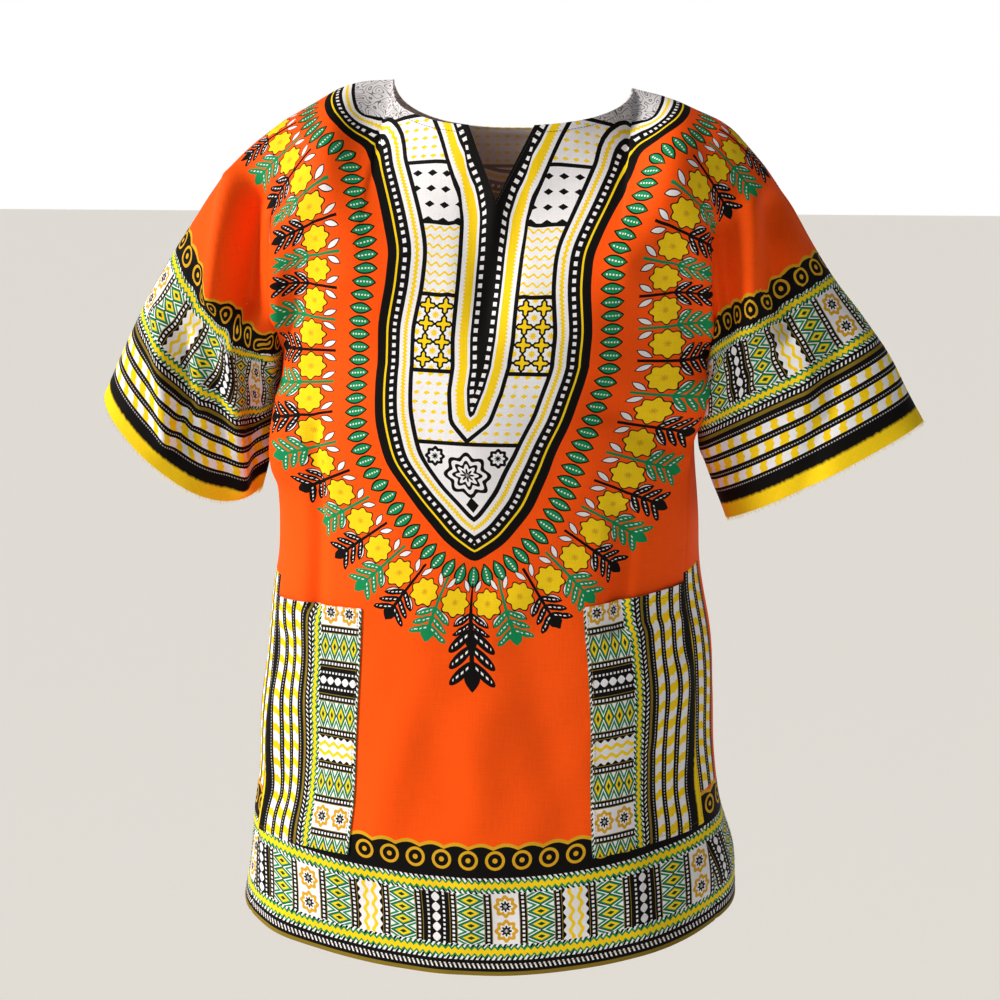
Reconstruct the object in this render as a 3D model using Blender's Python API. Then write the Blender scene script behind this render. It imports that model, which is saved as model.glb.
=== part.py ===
"""A hip-length printed kaftan tunic with short wide sleeves, in the hollow form it has when worn.

The front and the back are each one cloth with its half sleeves, joined along the shoulder and the
sleeve's top, along the sleeve's bottom and down the side. Two patch pockets lie on the front.
The origin is on the centre line at the height of the neck points, +Z is up, and the front faces
-Y. Left and right are the wearer's: left is +X. Sizes in the tables are millimetres and degrees.
"""
from math import cos, pi, radians, sin

import bpy
import numpy as np
from mathutils.kdtree import KDTree

MM = 0.001
WALL = 1.8 * MM
SEAM_GAP = 0.3 * MM
POCKET_GAP = 0.3 * MM
WELD_REACH = 0.01 * MM
ROUNDING = 1e-6
COLLECTION = "kaftan_tunic"

# The neckline: a round hole with a V slit at the front.
NECK_ROUNDNESS = 2.4
NECK_POINT_Y = -6.0
NECK_FRONT = {"drop": 43.0, "depth": -86.0}
NECK_BACK = {"drop": 47.0, "depth": 58.0}
SLIT = {"half_width": 31.0, "tip_x": -2.0, "tip_y": -108.0, "tip_z": -111.0}

# Where the neckline's parts fall across a panel, from 0 at its middle to 1 at its side.
SLIT_SHARE = 0.114
NECK_SHARE = 0.43

# The shoulder and sleeve top, from the neck point to the cuff.
TOP_LINE_COLUMNS = ("right_x", "right_z", "left_x", "left_z", "y")
TOP_LINE = [
    (-117, 2, 117, -8, -6),
    (-149, -3, 145, -16, -3),
    (-184, -17, 180, -30, 0),
    (-210, -29, 203, -42, 0),
    (-234, -43, 222, -57, 0),
    (-271, -75, 249, -89, 0),
    (-313, -130, 284, -145, -2),
    (-346, -182, 316, -192, -4),
    (-380, -243, 352, -243, -6),
    (-411, -307, 399, -322, -8),
]
ARMHOLE_ROW = 3

# The sleeve's bottom seam, from the underarm to the cuff.
BOTTOM_LINE_COLUMNS = ("right_x", "right_z", "left_x", "left_z", "y")
BOTTOM_LINE = [
    (-225, -262, 199, -262, 0),
    (-238, -300, 202, -305, 0),
    (-250, -350, 196, -360, 4),
    (-257, -405, 219, -425, 4),
]

# How far a sleeve rounds out in front and behind, and how far its cuff hangs below the seams.
SLEEVE_COLUMNS = ("along", "front", "back", "right_dip", "left_dip")
SLEEVE = [
    (0.0, 76, 74, 0, 0),
    (0.35, 70, 70, 0, 0),
    (0.7, 62, 62, 10, 0),
    (1.0, 58, 56, 30, 0),
]
DIP_SKEW = 1.5

# The body below the underarm. Heights are given at the middle and at both sides, because the left
# side is hitched up a little. The seam angles are measured round from the front.
BODY_COLUMNS = (
    "z", "right_z", "left_z", "right_x", "left_x", "front", "back", "right_seam", "left_seam",
)
BODY = [
    (-262, -262, -262, -225, 199, 131, 112, 90, 90),
    (-300, -300, -298, -229, 188, 133, 110, 89, 89),
    (-350, -352, -340, -239, 182, 132, 104, 81, 82),
    (-400, -404, -381, -234, 183, 131, 103, 73, 76),
    (-450, -456, -428, -236, 186, 132, 106, 69, 72),
    (-497, -502, -474, -244, 188, 135, 112, 67, 70),
    (-560, -566, -537, -250, 197, 138, 120, 67, 70),
    (-620, -627, -597, -256, 203, 141, 126, 67, 70),
    (-680, -687, -656, -260, 205, 145, 131, 67, 70),
    (-742, -742, -716, -268, 213, 150, 137, 68, 70),
    (-800, -793, -768, -274, 226, 155, 143, 68, 70),
    (-850, -830, -814, -278, 231, 160, 148, 68, 70),
]
POCKET_TOP = -497
POCKET_BOTTOM = -742
SQUARENESS = 0.82

# How far the chest and the back stand out halfway between the shoulder and the underarm.
CHEST = {"middle": 114, "side": 76}
UPPER_BACK = {"middle": 112, "side": 74}
CHEST_ROUNDNESS = 0.8

# Where across a panel its columns start to bend over the shoulder and to turn in under the arm,
# and how far on from there the bend is full.
SHOULDER_BEND_START = 0.38
UNDERARM_TURN_START = 0.6
BEND_REACH = 0.4

# The largest folds, as soft ridges and troughs seen from the front or from behind. They rise
# within a share of the way down to the underarm, and die away toward the seams by a power.
FOLD_RISE = 0.2
SIDE_FADE_POWER = 12
FOLD_COLUMNS = ("panel", "x0", "z0", "x1", "z1", "width", "height")
FOLDS = [
    ("front", -258, -84, -284, -205, 20, 9),
    ("front", -258, -120, -264, -240, 15, -10),
    ("front", -238, -110, -238, -235, 15, 8),
    ("front", 224, -110, 230, -240, 17, 12),
    ("front", 250, -120, 266, -230, 16, -9),
    ("front", 198, -140, 204, -225, 16, -8),
    ("front", -180, -330, -178, -500, 20, -7),
    ("front", 118, -400, 112, -510, 20, -6),
    ("front", 182, -290, 180, -350, 17, 16),
    ("front", -214, -310, -222, -375, 17, 8),
    ("front", 170, -345, 110, -305, 18, -7),
    ("back", -110, -120, -170, -260, 24, -8),
    ("back", 105, -130, 168, -260, 24, -8),
    ("back", -90, -420, -110, -700, 26, 9),
    ("back", 20, -450, 30, -760, 24, -8),
    ("back", 120, -420, 130, -700, 26, 9),
]

# How finely each panel is divided.
SLIT_STEPS = 3
NECK_STEPS = {"front": 5, "back": 6}
SHOULDER_STEPS = 9
UPPER_STEPS = 14
SLEEVE_STEPS = 12
BODY_STEPS = {"above pockets": 8, "beside pockets": 8, "below pockets": 4}

CLOTH = {
    "front": ("printed_cotton", (0.85, 0.13, 0.02)),
    "back": ("printed_cotton_back", (0.80, 0.12, 0.02)),
    "pocket_right": ("border_cotton_right", (0.55, 0.45, 0.10)),
    "pocket_left": ("border_cotton_left", (0.50, 0.42, 0.10)),
}
CLOTH_ROUGHNESS = 0.85
SHARP_ANGLE = 50


def column(rows, names, name):
    """One named column of a table."""
    return np.array([row[names.index(name)] for row in rows], float)


def smooth(at, places, values):
    """A curve through the values, smooth where it passes each of them."""
    places = np.asarray(places, float)
    slopes = np.gradient(values, places)
    low = np.clip(np.searchsorted(places, at, side="right") - 1, 0, len(places) - 2)
    step = places[low + 1] - places[low]
    share = np.clip((at - places[low]) / step, 0.0, 1.0)
    square = share * share
    cube = square * share
    return (
        values[low] * (2 * cube - 3 * square + 1)
        + slopes[low] * step * (cube - 2 * square + share)
        + values[low + 1] * (3 * square - 2 * cube)
        + slopes[low + 1] * step * (cube - square)
    )


def eased(share):
    """A smooth step from 0 to 1."""
    share = np.clip(share, 0.0, 1.0)
    return share * share * (3 - 2 * share)


def line_point(rows, names, side, at):
    """A point of the top line or the bottom line, a whole number for each of its rows."""
    places = np.arange(len(rows))
    found = [smooth(at, places, column(rows, names, f"{side}_{axis}")) for axis in "xz"]
    return np.array([found[0], smooth(at, places, column(rows, names, "y")), found[1]])


def side_of(across):
    """The wearer's side on which a share, or a distance from the centre, lies."""
    return "right" if across < 0 else "left"


def body_point(panel, across, down):
    """A point of the body at a row of BODY, from -1 at the right seam to 1 at the left seam."""
    places = np.arange(len(BODY))
    row = {name: smooth(down, places, column(BODY, BODY_COLUMNS, name)) for name in BODY_COLUMNS}
    middle = (row["left_x"] + row["right_x"]) / 2
    half = (row["left_x"] - row["right_x"]) / 2
    if panel == "front":
        turn = (row["left_seam"] - row["right_seam"]) / 2
        turn += across * (row["left_seam"] + row["right_seam"]) / 2
    else:
        turn = 180 + (row["left_seam"] - row["right_seam"]) / 2
        turn -= across * (180 - (row["left_seam"] + row["right_seam"]) / 2)
    forward = cos(radians(turn))
    depth = row["front"] if forward > 0 else row["back"]
    y = -depth * abs(forward) ** SQUARENESS * (1 if forward > 0 else -1)
    sideways = sin(radians(turn))
    height = row["z"] + (row[f"{side_of(sideways)}_z"] - row["z"]) * sideways**2
    return np.array([middle + half * sideways, y, height])


def neck_point(panel, across):
    """A point of the neckline or of the slit's edge, with across from -1 to 1 over the panel."""
    size = NECK_FRONT if panel == "front" else NECK_BACK
    side = side_of(across)
    start = line_point(TOP_LINE, TOP_LINE_COLUMNS, side, 0)
    reach = abs(across)
    round_from = SLIT_SHARE if panel == "front" else 0.0
    inner = SLIT["half_width"] if panel == "front" else 0.0
    start_turn = np.arcsin(inner / abs(start[0]))
    turn = start_turn + (pi / 2 - start_turn) * max(reach - round_from, 0) / (NECK_SHARE - round_from)
    x = abs(start[0]) * sin(turn)
    low = (1 - min(x / abs(start[0]), 1.0) ** NECK_ROUNDNESS) ** (1 / NECK_ROUNDNESS)
    y = NECK_POINT_Y + (size["depth"] - NECK_POINT_Y) * max(cos(turn), 0.0)
    z = start[2] * (1 - low) - size["drop"] * low
    point = np.array([np.sign(start[0]) * x, y, z])
    if panel == "front" and reach < SLIT_SHARE:
        tip = np.array([SLIT["tip_x"], SLIT["tip_y"], SLIT["tip_z"]])
        point = tip + (point - tip) * reach / SLIT_SHARE
    return point


def top_point(panel, across):
    """The panel's upper edge: the neckline in the middle and the shoulder line on both sides."""
    if abs(across) <= NECK_SHARE:
        return neck_point(panel, across)
    along = (abs(across) - NECK_SHARE) / (1 - NECK_SHARE) * ARMHOLE_ROW
    return line_point(TOP_LINE, TOP_LINE_COLUMNS, side_of(across), along)


def round_down(share):
    """How far down a sleeve's round the seam-to-seam share lies."""
    return (1 - cos(pi * share)) / 2


def upper_point(panel, across, down):
    """A point between the upper edge (down 0) and the underarm level (down 1)."""
    start = top_point(panel, across)
    end = body_point(panel, across, 0)
    reach = abs(across)
    shoulder = eased((reach - SHOULDER_BEND_START) / BEND_REACH)
    tuck = eased((reach - UNDERARM_TURN_START) / BEND_REACH)
    fall = (1 - shoulder) * down + shoulder * (1 - cos(pi * down / 2))
    fall = (1 - tuck) * fall + tuck * round_down(down)
    point = start + (end - start) * fall
    chest = CHEST if panel == "front" else UPPER_BACK
    outward = -1 if panel == "front" else 1
    crown = (1 - reach**2) ** CHEST_ROUNDNESS
    middle = outward * (chest["side"] + (chest["middle"] - chest["side"]) * crown)
    half_way = start[1] + (end[1] - start[1]) * sin(pi / 4)
    point[1] = start[1] + (end[1] - start[1]) * sin(pi * down / 2)
    point[1] += (middle - half_way) * sin(pi * down) ** (2 - tuck)
    return point


def sleeve_point(panel, side, along, down):
    """A point of a half sleeve, from the armhole (along 0) to the cuff and from seam to seam."""
    rows = len(TOP_LINE) - 1 - ARMHOLE_ROW
    top = line_point(TOP_LINE, TOP_LINE_COLUMNS, side, ARMHOLE_ROW + along * rows)
    bottom = line_point(BOTTOM_LINE, BOTTOM_LINE_COLUMNS, side, along * (len(BOTTOM_LINE) - 1))
    places = column(SLEEVE, SLEEVE_COLUMNS, "along")
    depth = smooth(along, places, column(SLEEVE, SLEEVE_COLUMNS, panel))
    dip = smooth(along, places, column(SLEEVE, SLEEVE_COLUMNS, f"{side}_dip"))
    across = bottom - top
    hang = np.array([across[2], 0, -across[0]]) / np.hypot(across[0], across[2])
    if side == "left":
        hang = -hang
    point = top + across * round_down(down)
    point += hang * dip * sin(pi * down**DIP_SKEW)
    point[1] += depth * sin(pi * down) * (-1 if panel == "front" else 1)
    if along == 0:
        point = upper_point(panel, -1.0 if side == "right" else 1.0, down)
    return point


def shares_across(panel):
    """The places of a panel's columns, from its middle to its side."""
    slit = [SLIT_SHARE * step / SLIT_STEPS for step in range(SLIT_STEPS)] if panel == "front" else []
    start = SLIT_SHARE if panel == "front" else 0.0
    steps = NECK_STEPS[panel]
    neck = [start + (NECK_SHARE - start) * step / steps for step in range(steps)]
    shoulder = [NECK_SHARE + (1 - NECK_SHARE) * s / SHOULDER_STEPS for s in range(SHOULDER_STEPS + 1)]
    half = slit + neck + shoulder
    return [-share for share in reversed(half[1:])] + half


def rows_down():
    """The places of the body's rows in BODY, with one on each pocket's top and bottom edge."""
    heights = column(BODY, BODY_COLUMNS, "z")
    stops = [0, list(heights).index(POCKET_TOP), list(heights).index(POCKET_BOTTOM), len(BODY) - 1]
    rows = []
    for low, high, steps in zip(stops, stops[1:], BODY_STEPS.values()):
        rows += [low + (high - low) * step / steps for step in range(steps)]
    return rows[1:] + [len(BODY) - 1]


def panel_grids(panel):
    """A panel's body and its two half sleeves, each as rows of points in metres."""
    shares = shares_across(panel)
    upper = [
        [upper_point(panel, share, row / UPPER_STEPS) for share in shares]
        for row in range(UPPER_STEPS + 1)
    ]
    lower = [[body_point(panel, share, row) for share in shares] for row in rows_down()]
    grids = {"body": np.array(upper + lower) * MM}
    for side in ("right", "left"):
        grids[f"{side} sleeve"] = MM * np.array([
            [
                sleeve_point(panel, side, step / SLEEVE_STEPS, row / UPPER_STEPS)
                for step in range(SLEEVE_STEPS + 1)
            ]
            for row in range(UPPER_STEPS + 1)
        ])
    return grids


def turned(panel, part):
    """Whether a grid's faces, taken row by row, point inward."""
    return (panel == "back") != (part == "right sleeve")


def grid_faces(numbers, turn):
    """The triangles between a grid's points, with the same diagonal throughout."""
    faces = []
    for upper, lower in zip(numbers, numbers[1:]):
        for a, b, c, d in zip(upper, lower, lower[1:], upper[1:]):
            faces += [(a, b, c), (a, c, d)]
    return [face[::-1] if turn else face for face in faces]


def all_points(panels):
    """The points of every grid, one after another."""
    grids = [grid for parts in panels.values() for grid in parts.values()]
    return np.concatenate([grid.reshape(-1, 3) for grid in grids])


def welded_numbers(panels):
    """A number for each point of each grid, the same where grids meet."""
    points = all_points(panels)
    tree = KDTree(len(points))
    for number, point in enumerate(points):
        tree.insert(point, number)
    tree.balance()
    first = [min(found[1] for found in tree.find_range(point, WELD_REACH)) for point in points]
    numbers, start = {}, 0
    for panel, grids in panels.items():
        for part, grid in grids.items():
            count = grid[..., 0].size
            numbers[panel, part] = np.array(first[start : start + count]).reshape(grid.shape[:2])
            start += count
    return numbers


def outward_directions(panels, numbers):
    """The outward direction at each point of each grid, read from one open mesh of them all."""
    points = all_points(panels)
    faces = []
    for (panel, part), grid in numbers.items():
        faces += grid_faces(grid.tolist(), turned(panel, part))
    mesh = bpy.data.meshes.new("open_cloth")
    mesh.from_pydata(points, [], faces)
    found = np.array([vertex.normal for vertex in mesh.vertices])
    bpy.data.meshes.remove(mesh)
    return {place: found[grid] for place, grid in numbers.items()}


def fold_heights(panel, grid):
    """How far the folds move each point of a grid along its outward direction, in metres."""
    heights = np.zeros(grid.shape[:-1])
    flat = grid[..., [0, 2]] / MM
    for row in FOLDS:
        fold = dict(zip(FOLD_COLUMNS, row))
        if fold["panel"] != panel:
            continue
        start = np.array([fold["x0"], fold["z0"]])
        run = np.array([fold["x1"], fold["z1"]]) - start
        share = np.clip((flat - start) @ run / (run @ run), 0, 1)
        away = np.linalg.norm(flat - start - share[..., None] * run, axis=-1)
        heights += fold["height"] * np.exp(-((away / fold["width"]) ** 2))
    return heights * MM


def fold_fade(part, grid_shape, shares):
    """1 where folds keep their height and 0 at the seams, which the two panels share."""
    rows, columns = grid_shape
    down = np.arange(rows) / UPPER_STEPS
    round_fade = np.sqrt(np.sin(pi * np.minimum(down, 1.0)).clip(0))
    if part != "body":
        return np.repeat(round_fade[:, None], columns, axis=1)
    edge = np.abs(np.array(shares)) ** SIDE_FADE_POWER
    top = np.clip(down / FOLD_RISE, 0, 1)
    return top[:, None] * (1 - edge[None, :] * (1 - round_fade[:, None]))


def folded_grids(panels, outward):
    """The panels' grids with their folds pushed in and out."""
    folded = {}
    for panel, grids in panels.items():
        shares = shares_across(panel)
        folded[panel] = {}
        for part, grid in grids.items():
            heights = fold_heights(panel, grid) * fold_fade(part, grid.shape[:2], shares)
            folded[panel][part] = grid + outward[panel, part] * heights[..., None]
    return folded


def drawn_back(grid, edge, inner):
    """The edge's points, moved half a seam gap toward the points inside it."""
    inward = grid[inner] - grid[edge]
    length = np.linalg.norm(inward, axis=-1, keepdims=True)
    return grid[edge] + inward / length * SEAM_GAP / 2


def opened_seams(panel, part, grid):
    """The grid with its seam edges drawn back, so that two panels lie a seam gap apart."""
    opened = grid.copy()
    if part != "body":
        opened[0] = drawn_back(grid, np.s_[0], np.s_[1])
        opened[-1] = drawn_back(grid, np.s_[-1], np.s_[-2])
        return opened
    beside = np.abs(np.array(shares_across(panel))) >= NECK_SHARE - ROUNDING
    opened[0, beside] = drawn_back(grid, np.s_[0, beside], np.s_[1, beside])
    for edge, inner in ((0, 1), (-1, -2)):
        below = np.s_[UPPER_STEPS + 1 :, edge]
        opened[below] = drawn_back(grid, below, np.s_[UPPER_STEPS + 1 :, inner])
        underarm = np.s_[UPPER_STEPS, edge]
        opened[underarm] = drawn_back(grid, underarm, np.s_[UPPER_STEPS - 1, edge])
    return opened


def cloth_object(name, sheets, lift):
    """A closed cloth wall over the sheets, each a grid's numbers, points and outward directions.

    Its under side lies lift outside the sheets' points, and its upper side lies a wall above that.
    """
    places, upper, under, faces = {}, [], [], []
    for numbers, points, outward, turn in sheets:
        rows = zip(numbers.flat, points.reshape(-1, 3), outward.reshape(-1, 3))
        for number, point, direction in rows:
            if number not in places:
                places[number] = len(upper)
                upper.append(point + direction * (lift + WALL))
                under.append(point + direction * lift)
        faces += grid_faces([[places[number] for number in row] for row in numbers], turn)
    edges = {(face[i], face[(i + 1) % 3]) for face in faces for i in range(3)}
    shift = len(upper)
    solid = faces + [tuple(point + shift for point in face[::-1]) for face in faces]
    for a, b in sorted(edges):
        if (b, a) not in edges:
            solid += [(b, a, a + shift), (b, a + shift, b + shift)]
    mesh = bpy.data.meshes.new(name)
    mesh.from_pydata(upper + under, [], solid)
    mesh.shade_smooth()
    mesh.set_sharp_from_angle(angle=radians(SHARP_ANGLE))
    mesh.materials.append(cloth_material(name))
    return bpy.data.objects.new(name, mesh)


def cloth_material(name):
    """The printed cotton's own colour for a piece."""
    title, colour = CLOTH[name]
    material = bpy.data.materials.new(title)
    material.use_nodes = True
    shader = material.node_tree.nodes["Principled BSDF"]
    shader.inputs["Base Color"].default_value = (*colour, 1.0)
    shader.inputs["Roughness"].default_value = CLOTH_ROUGHNESS
    shader.inputs["Metallic"].default_value = 0.0
    return material


def pocket_sheet(side, front_sheet):
    """The stretch of the front's body that a pocket covers."""
    shares = np.array(shares_across("front"))
    outer = -shares if side == "right" else shares
    covered = outer > NECK_SHARE - ROUNDING
    first = UPPER_STEPS + BODY_STEPS["above pockets"]
    rows = range(first, first + BODY_STEPS["beside pockets"] + 1)
    cut = np.ix_(rows, np.flatnonzero(covered))
    numbers, points, outward, turn = front_sheet
    return numbers[cut], points[cut], outward[cut], turn


def build():
    """Makes the four pieces of cloth in a collection of their own."""
    for old in list(bpy.data.objects):
        bpy.data.objects.remove(old)
    collection = bpy.data.collections.new(COLLECTION)
    bpy.context.scene.collection.children.link(collection)
    plain = {panel: panel_grids(panel) for panel in ("front", "back")}
    numbers = welded_numbers(plain)
    folded = folded_grids(plain, outward_directions(plain, numbers))
    outward = outward_directions(folded, numbers)
    for panel, grids in folded.items():
        sheets = [
            (
                numbers[panel, part],
                opened_seams(panel, part, grid),
                outward[panel, part],
                turned(panel, part),
            )
            for part, grid in grids.items()
        ]
        collection.objects.link(cloth_object(panel, sheets, -WALL))
        if panel == "front":
            for side in ("right", "left"):
                sheet = pocket_sheet(side, sheets[0])
                collection.objects.link(cloth_object(f"pocket_{side}", [sheet], POCKET_GAP))


build()
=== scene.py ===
from math import pi, radians, sin

import bpy
import numpy as np
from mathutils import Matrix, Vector
from mathutils.kdtree import KDTree


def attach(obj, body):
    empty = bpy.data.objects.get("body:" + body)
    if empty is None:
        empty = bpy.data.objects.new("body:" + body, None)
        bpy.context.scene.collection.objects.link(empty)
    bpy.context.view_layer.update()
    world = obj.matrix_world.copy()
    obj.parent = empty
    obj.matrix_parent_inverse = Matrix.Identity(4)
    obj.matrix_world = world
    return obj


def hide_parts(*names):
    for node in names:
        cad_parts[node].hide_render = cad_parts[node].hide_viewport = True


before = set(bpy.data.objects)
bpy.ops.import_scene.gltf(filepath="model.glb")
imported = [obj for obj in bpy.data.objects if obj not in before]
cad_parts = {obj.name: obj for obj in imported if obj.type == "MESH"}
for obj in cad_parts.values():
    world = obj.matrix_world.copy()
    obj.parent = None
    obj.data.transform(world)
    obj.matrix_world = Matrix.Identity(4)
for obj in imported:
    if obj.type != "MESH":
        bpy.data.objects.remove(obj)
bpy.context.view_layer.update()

MM = 0.001


# The front and back panels. The real ones are two pieces of wax printed cotton, as wide as the
# cloth from selvage to selvage, cut with half sleeves in one piece and sewn together along the
# shoulder, under the sleeve and down the side. The form below is the one they take when worn.

# The neckline in millimetres: a round hole with a V slit at the front. Left is the wearer's, +X.
NECK_ROUNDNESS = 2.4
NECK_POINT_Y = -6.0
NECK_EDGE = {"front": {"drop": 43.0, "depth": -86.0}, "back": {"drop": 47.0, "depth": 58.0}}
SLIT_HALF_WIDTH = 31.0
SLIT_TIP = np.array([-2.0, -108.0, -111.0])
SLIT_SHARE = 0.114
NECK_SHARE = 0.43

SEAM_COLUMNS = ("right_x", "right_z", "left_x", "left_z", "y")
SHOULDER_TO_CUFF = [
    (-117, 2, 117, -8, -6),
    (-149, -3, 145, -16, -3),
    (-184, -17, 180, -30, 0),
    (-210, -29, 203, -42, 0),
    (-234, -43, 222, -57, 0),
    (-271, -75, 249, -89, 0),
    (-313, -130, 284, -145, -2),
    (-346, -182, 316, -192, -4),
    (-380, -243, 352, -243, -6),
    (-411, -307, 399, -322, -8),
]
ARMHOLE_ROW = 3
UNDERARM_TO_CUFF = [
    (-225, -262, 199, -262, 0),
    (-231, -300, 190, -305, 0),
    (-242, -350, 187, -360, 4),
    (-256, -405, 211, -425, 4),
]
SLEEVE_COLUMNS = ("along", "front", "back", "right_dip", "left_dip")
SLEEVE_ROUND = [
    (0.0, 76, 74, 0, 0),
    (0.35, 70, 70, 0, 0),
    (0.7, 62, 62, 10, 0),
    (1.0, 58, 56, 30, 0),
]
DIP_SKEW = 1.5

BODY_COLUMNS = (
    "z", "right_z", "left_z", "right_x", "left_x", "front", "back", "right_seam", "left_seam",
)
BODY_SECTIONS = [
    (-262, -262, -262, -225, 199, 131, 112, 90, 90),
    (-300, -300, -298, -229, 188, 133, 110, 89, 89),
    (-350, -352, -340, -239, 182, 132, 104, 81, 82),
    (-400, -404, -381, -234, 183, 131, 103, 73, 76),
    (-450, -456, -428, -236, 186, 132, 106, 69, 72),
    (-497, -502, -474, -244, 188, 135, 112, 67, 70),
    (-560, -566, -537, -250, 197, 138, 120, 67, 70),
    (-620, -627, -597, -256, 203, 141, 126, 67, 70),
    (-680, -687, -656, -260, 205, 145, 131, 67, 70),
    (-742, -742, -716, -268, 213, 150, 137, 68, 70),
    (-800, -793, -768, -274, 226, 155, 143, 68, 70),
    (-850, -830, -814, -278, 231, 160, 148, 68, 70),
]
SQUARENESS = 0.82
POCKET_TOP_SECTION = 5
POCKET_BOTTOM_SECTION = 9
CHEST = {"front": (-114, -76), "back": (112, 74)}
CHEST_ROUNDNESS = 0.8
SHOULDER_BEND_START = 0.38
UNDERARM_TURN_START = 0.6
BEND_REACH = 0.4

# About 4.5 mm of cloth lies between two points of the mesh. Grids whose points lie within the
# weld reach of each other share them, along the seams.
WELD_REACH = 0.02
SLIT_STEPS = 8
NECK_STEPS = {"front": 20, "back": 26}
SHOULDER_STEPS = 36
UPPER_STEPS = 64
SLEEVE_STEPS = 56
BODY_STEPS = (52, 56, 28)


def columns(rows, names):
    """A table's columns by name."""
    return {name: np.array([row[place] for row in rows], float) for place, name in enumerate(names)}


SHOULDER_SEAM = columns(SHOULDER_TO_CUFF, SEAM_COLUMNS)
SLEEVE_SEAM = columns(UNDERARM_TO_CUFF, SEAM_COLUMNS)
SLEEVE = columns(SLEEVE_ROUND, SLEEVE_COLUMNS)
BODY = columns(BODY_SECTIONS, BODY_COLUMNS)


def smooth(at, places, values):
    """A curve through the values, smooth where it passes each of them."""
    slopes = np.gradient(values, places)
    low = np.clip(np.searchsorted(places, at, side="right") - 1, 0, len(places) - 2)
    step = places[low + 1] - places[low]
    share = np.clip((at - places[low]) / step, 0.0, 1.0)
    square, cube = share**2, share**3
    return (
        values[low] * (2 * cube - 3 * square + 1)
        + slopes[low] * step * (cube - 2 * square + share)
        + values[low + 1] * (3 * square - 2 * cube)
        + slopes[low + 1] * step * (cube - square)
    )


def eased(share):
    """A smooth step from 0 to 1."""
    share = np.clip(share, 0.0, 1.0)
    return share * share * (3 - 2 * share)


def seam_place(seam, side, at):
    """The place on a seam, at 1 for each of its table's rows."""
    rows = np.arange(len(seam["y"]), dtype=float)
    names = (f"{side}_x", "y", f"{side}_z")
    return np.stack([smooth(at, rows, seam[name]) for name in names], -1)


def shoulder_place(across, at):
    """The place on the shoulder seam of the side that each point lies on."""
    right, left = (seam_place(SHOULDER_SEAM, side, at) for side in ("right", "left"))
    return np.where((across < 0)[..., None], right, left)


def body_surface(panel, across, down):
    """The body below the underarm, from -1 at the right side seam to 1 at the left one."""
    sections = np.arange(len(BODY_SECTIONS), dtype=float)
    row = {name: smooth(down, sections, values) for name, values in BODY.items()}
    lean = (row["left_seam"] - row["right_seam"]) / 2
    mean = (row["left_seam"] + row["right_seam"]) / 2
    turn = lean + across * mean if panel == "front" else 180 + lean - across * (180 - mean)
    forward = np.cos(np.radians(turn))
    sideways = np.sin(np.radians(turn))
    depth = np.where(forward > 0, -row["front"], row["back"])
    side_z = np.where(sideways < 0, row["right_z"], row["left_z"])
    middle = (row["left_x"] + row["right_x"]) / 2
    return np.stack([
        middle + (row["left_x"] - middle) * sideways,
        depth * np.abs(forward) ** SQUARENESS,
        row["z"] + (side_z - row["z"]) * sideways**2,
    ], -1)


def neck_edge(panel, across):
    """The neckline, and at the front the slit's edge down to its tip."""
    edge = NECK_EDGE[panel]
    reach = np.abs(across)
    round_from, inner = (SLIT_SHARE, SLIT_HALF_WIDTH) if panel == "front" else (0.0, 0.0)
    neck_point = shoulder_place(across, np.zeros(1))
    half_width = np.abs(neck_point[..., 0])
    start = np.arcsin(inner / half_width)
    round_share = np.maximum(reach - round_from, 0) / (NECK_SHARE - round_from)
    turn = start + (pi / 2 - start) * np.minimum(round_share, 1.0)
    x = half_width * np.sin(turn)
    low = (1 - np.minimum(x / half_width, 1.0) ** NECK_ROUNDNESS) ** (1 / NECK_ROUNDNESS)
    y = NECK_POINT_Y + (edge["depth"] - NECK_POINT_Y) * np.maximum(np.cos(turn), 0.0)
    z = neck_point[..., 2] * (1 - low) - edge["drop"] * low
    place = np.stack([np.where(across < 0, -x, x), y, z], -1)
    if panel == "front":
        share = np.minimum(reach / SLIT_SHARE, 1.0)[..., None]
        place = np.where(share < 1, SLIT_TIP + (place - SLIT_TIP) * share, place)
    return place


def upper_surface(panel, across, down):
    """The panel between the neckline and shoulder (down 0) and the underarm's height (down 1)."""
    across, down = np.broadcast_arrays(across, down)
    reach = np.abs(across)
    on_seam = (reach - NECK_SHARE) / (1 - NECK_SHARE) * ARMHOLE_ROW
    shoulder = shoulder_place(across, on_seam)
    top = np.where((reach <= NECK_SHARE)[..., None], neck_edge(panel, across), shoulder)
    end = body_surface(panel, across, np.zeros(across.shape))
    bend = eased((reach - SHOULDER_BEND_START) / BEND_REACH)
    turn_in = eased((reach - UNDERARM_TURN_START) / BEND_REACH)
    fall = (1 - bend) * down + bend * (1 - np.cos(pi * down / 2))
    fall = (1 - turn_in) * fall + turn_in * (1 - np.cos(pi * down)) / 2
    place = top + (end - top) * fall[..., None]
    middle, side = CHEST[panel]
    stand_out = side + (middle - side) * np.maximum(1 - reach**2, 0) ** CHEST_ROUNDNESS
    half_way = top[..., 1] + (end[..., 1] - top[..., 1]) * sin(pi / 4)
    y = top[..., 1] + (end[..., 1] - top[..., 1]) * np.sin(pi * down / 2)
    y = y + (stand_out - half_way) * np.maximum(np.sin(pi * down), 0) ** (2 - turn_in)
    return np.stack([place[..., 0], y, place[..., 2]], -1)


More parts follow.
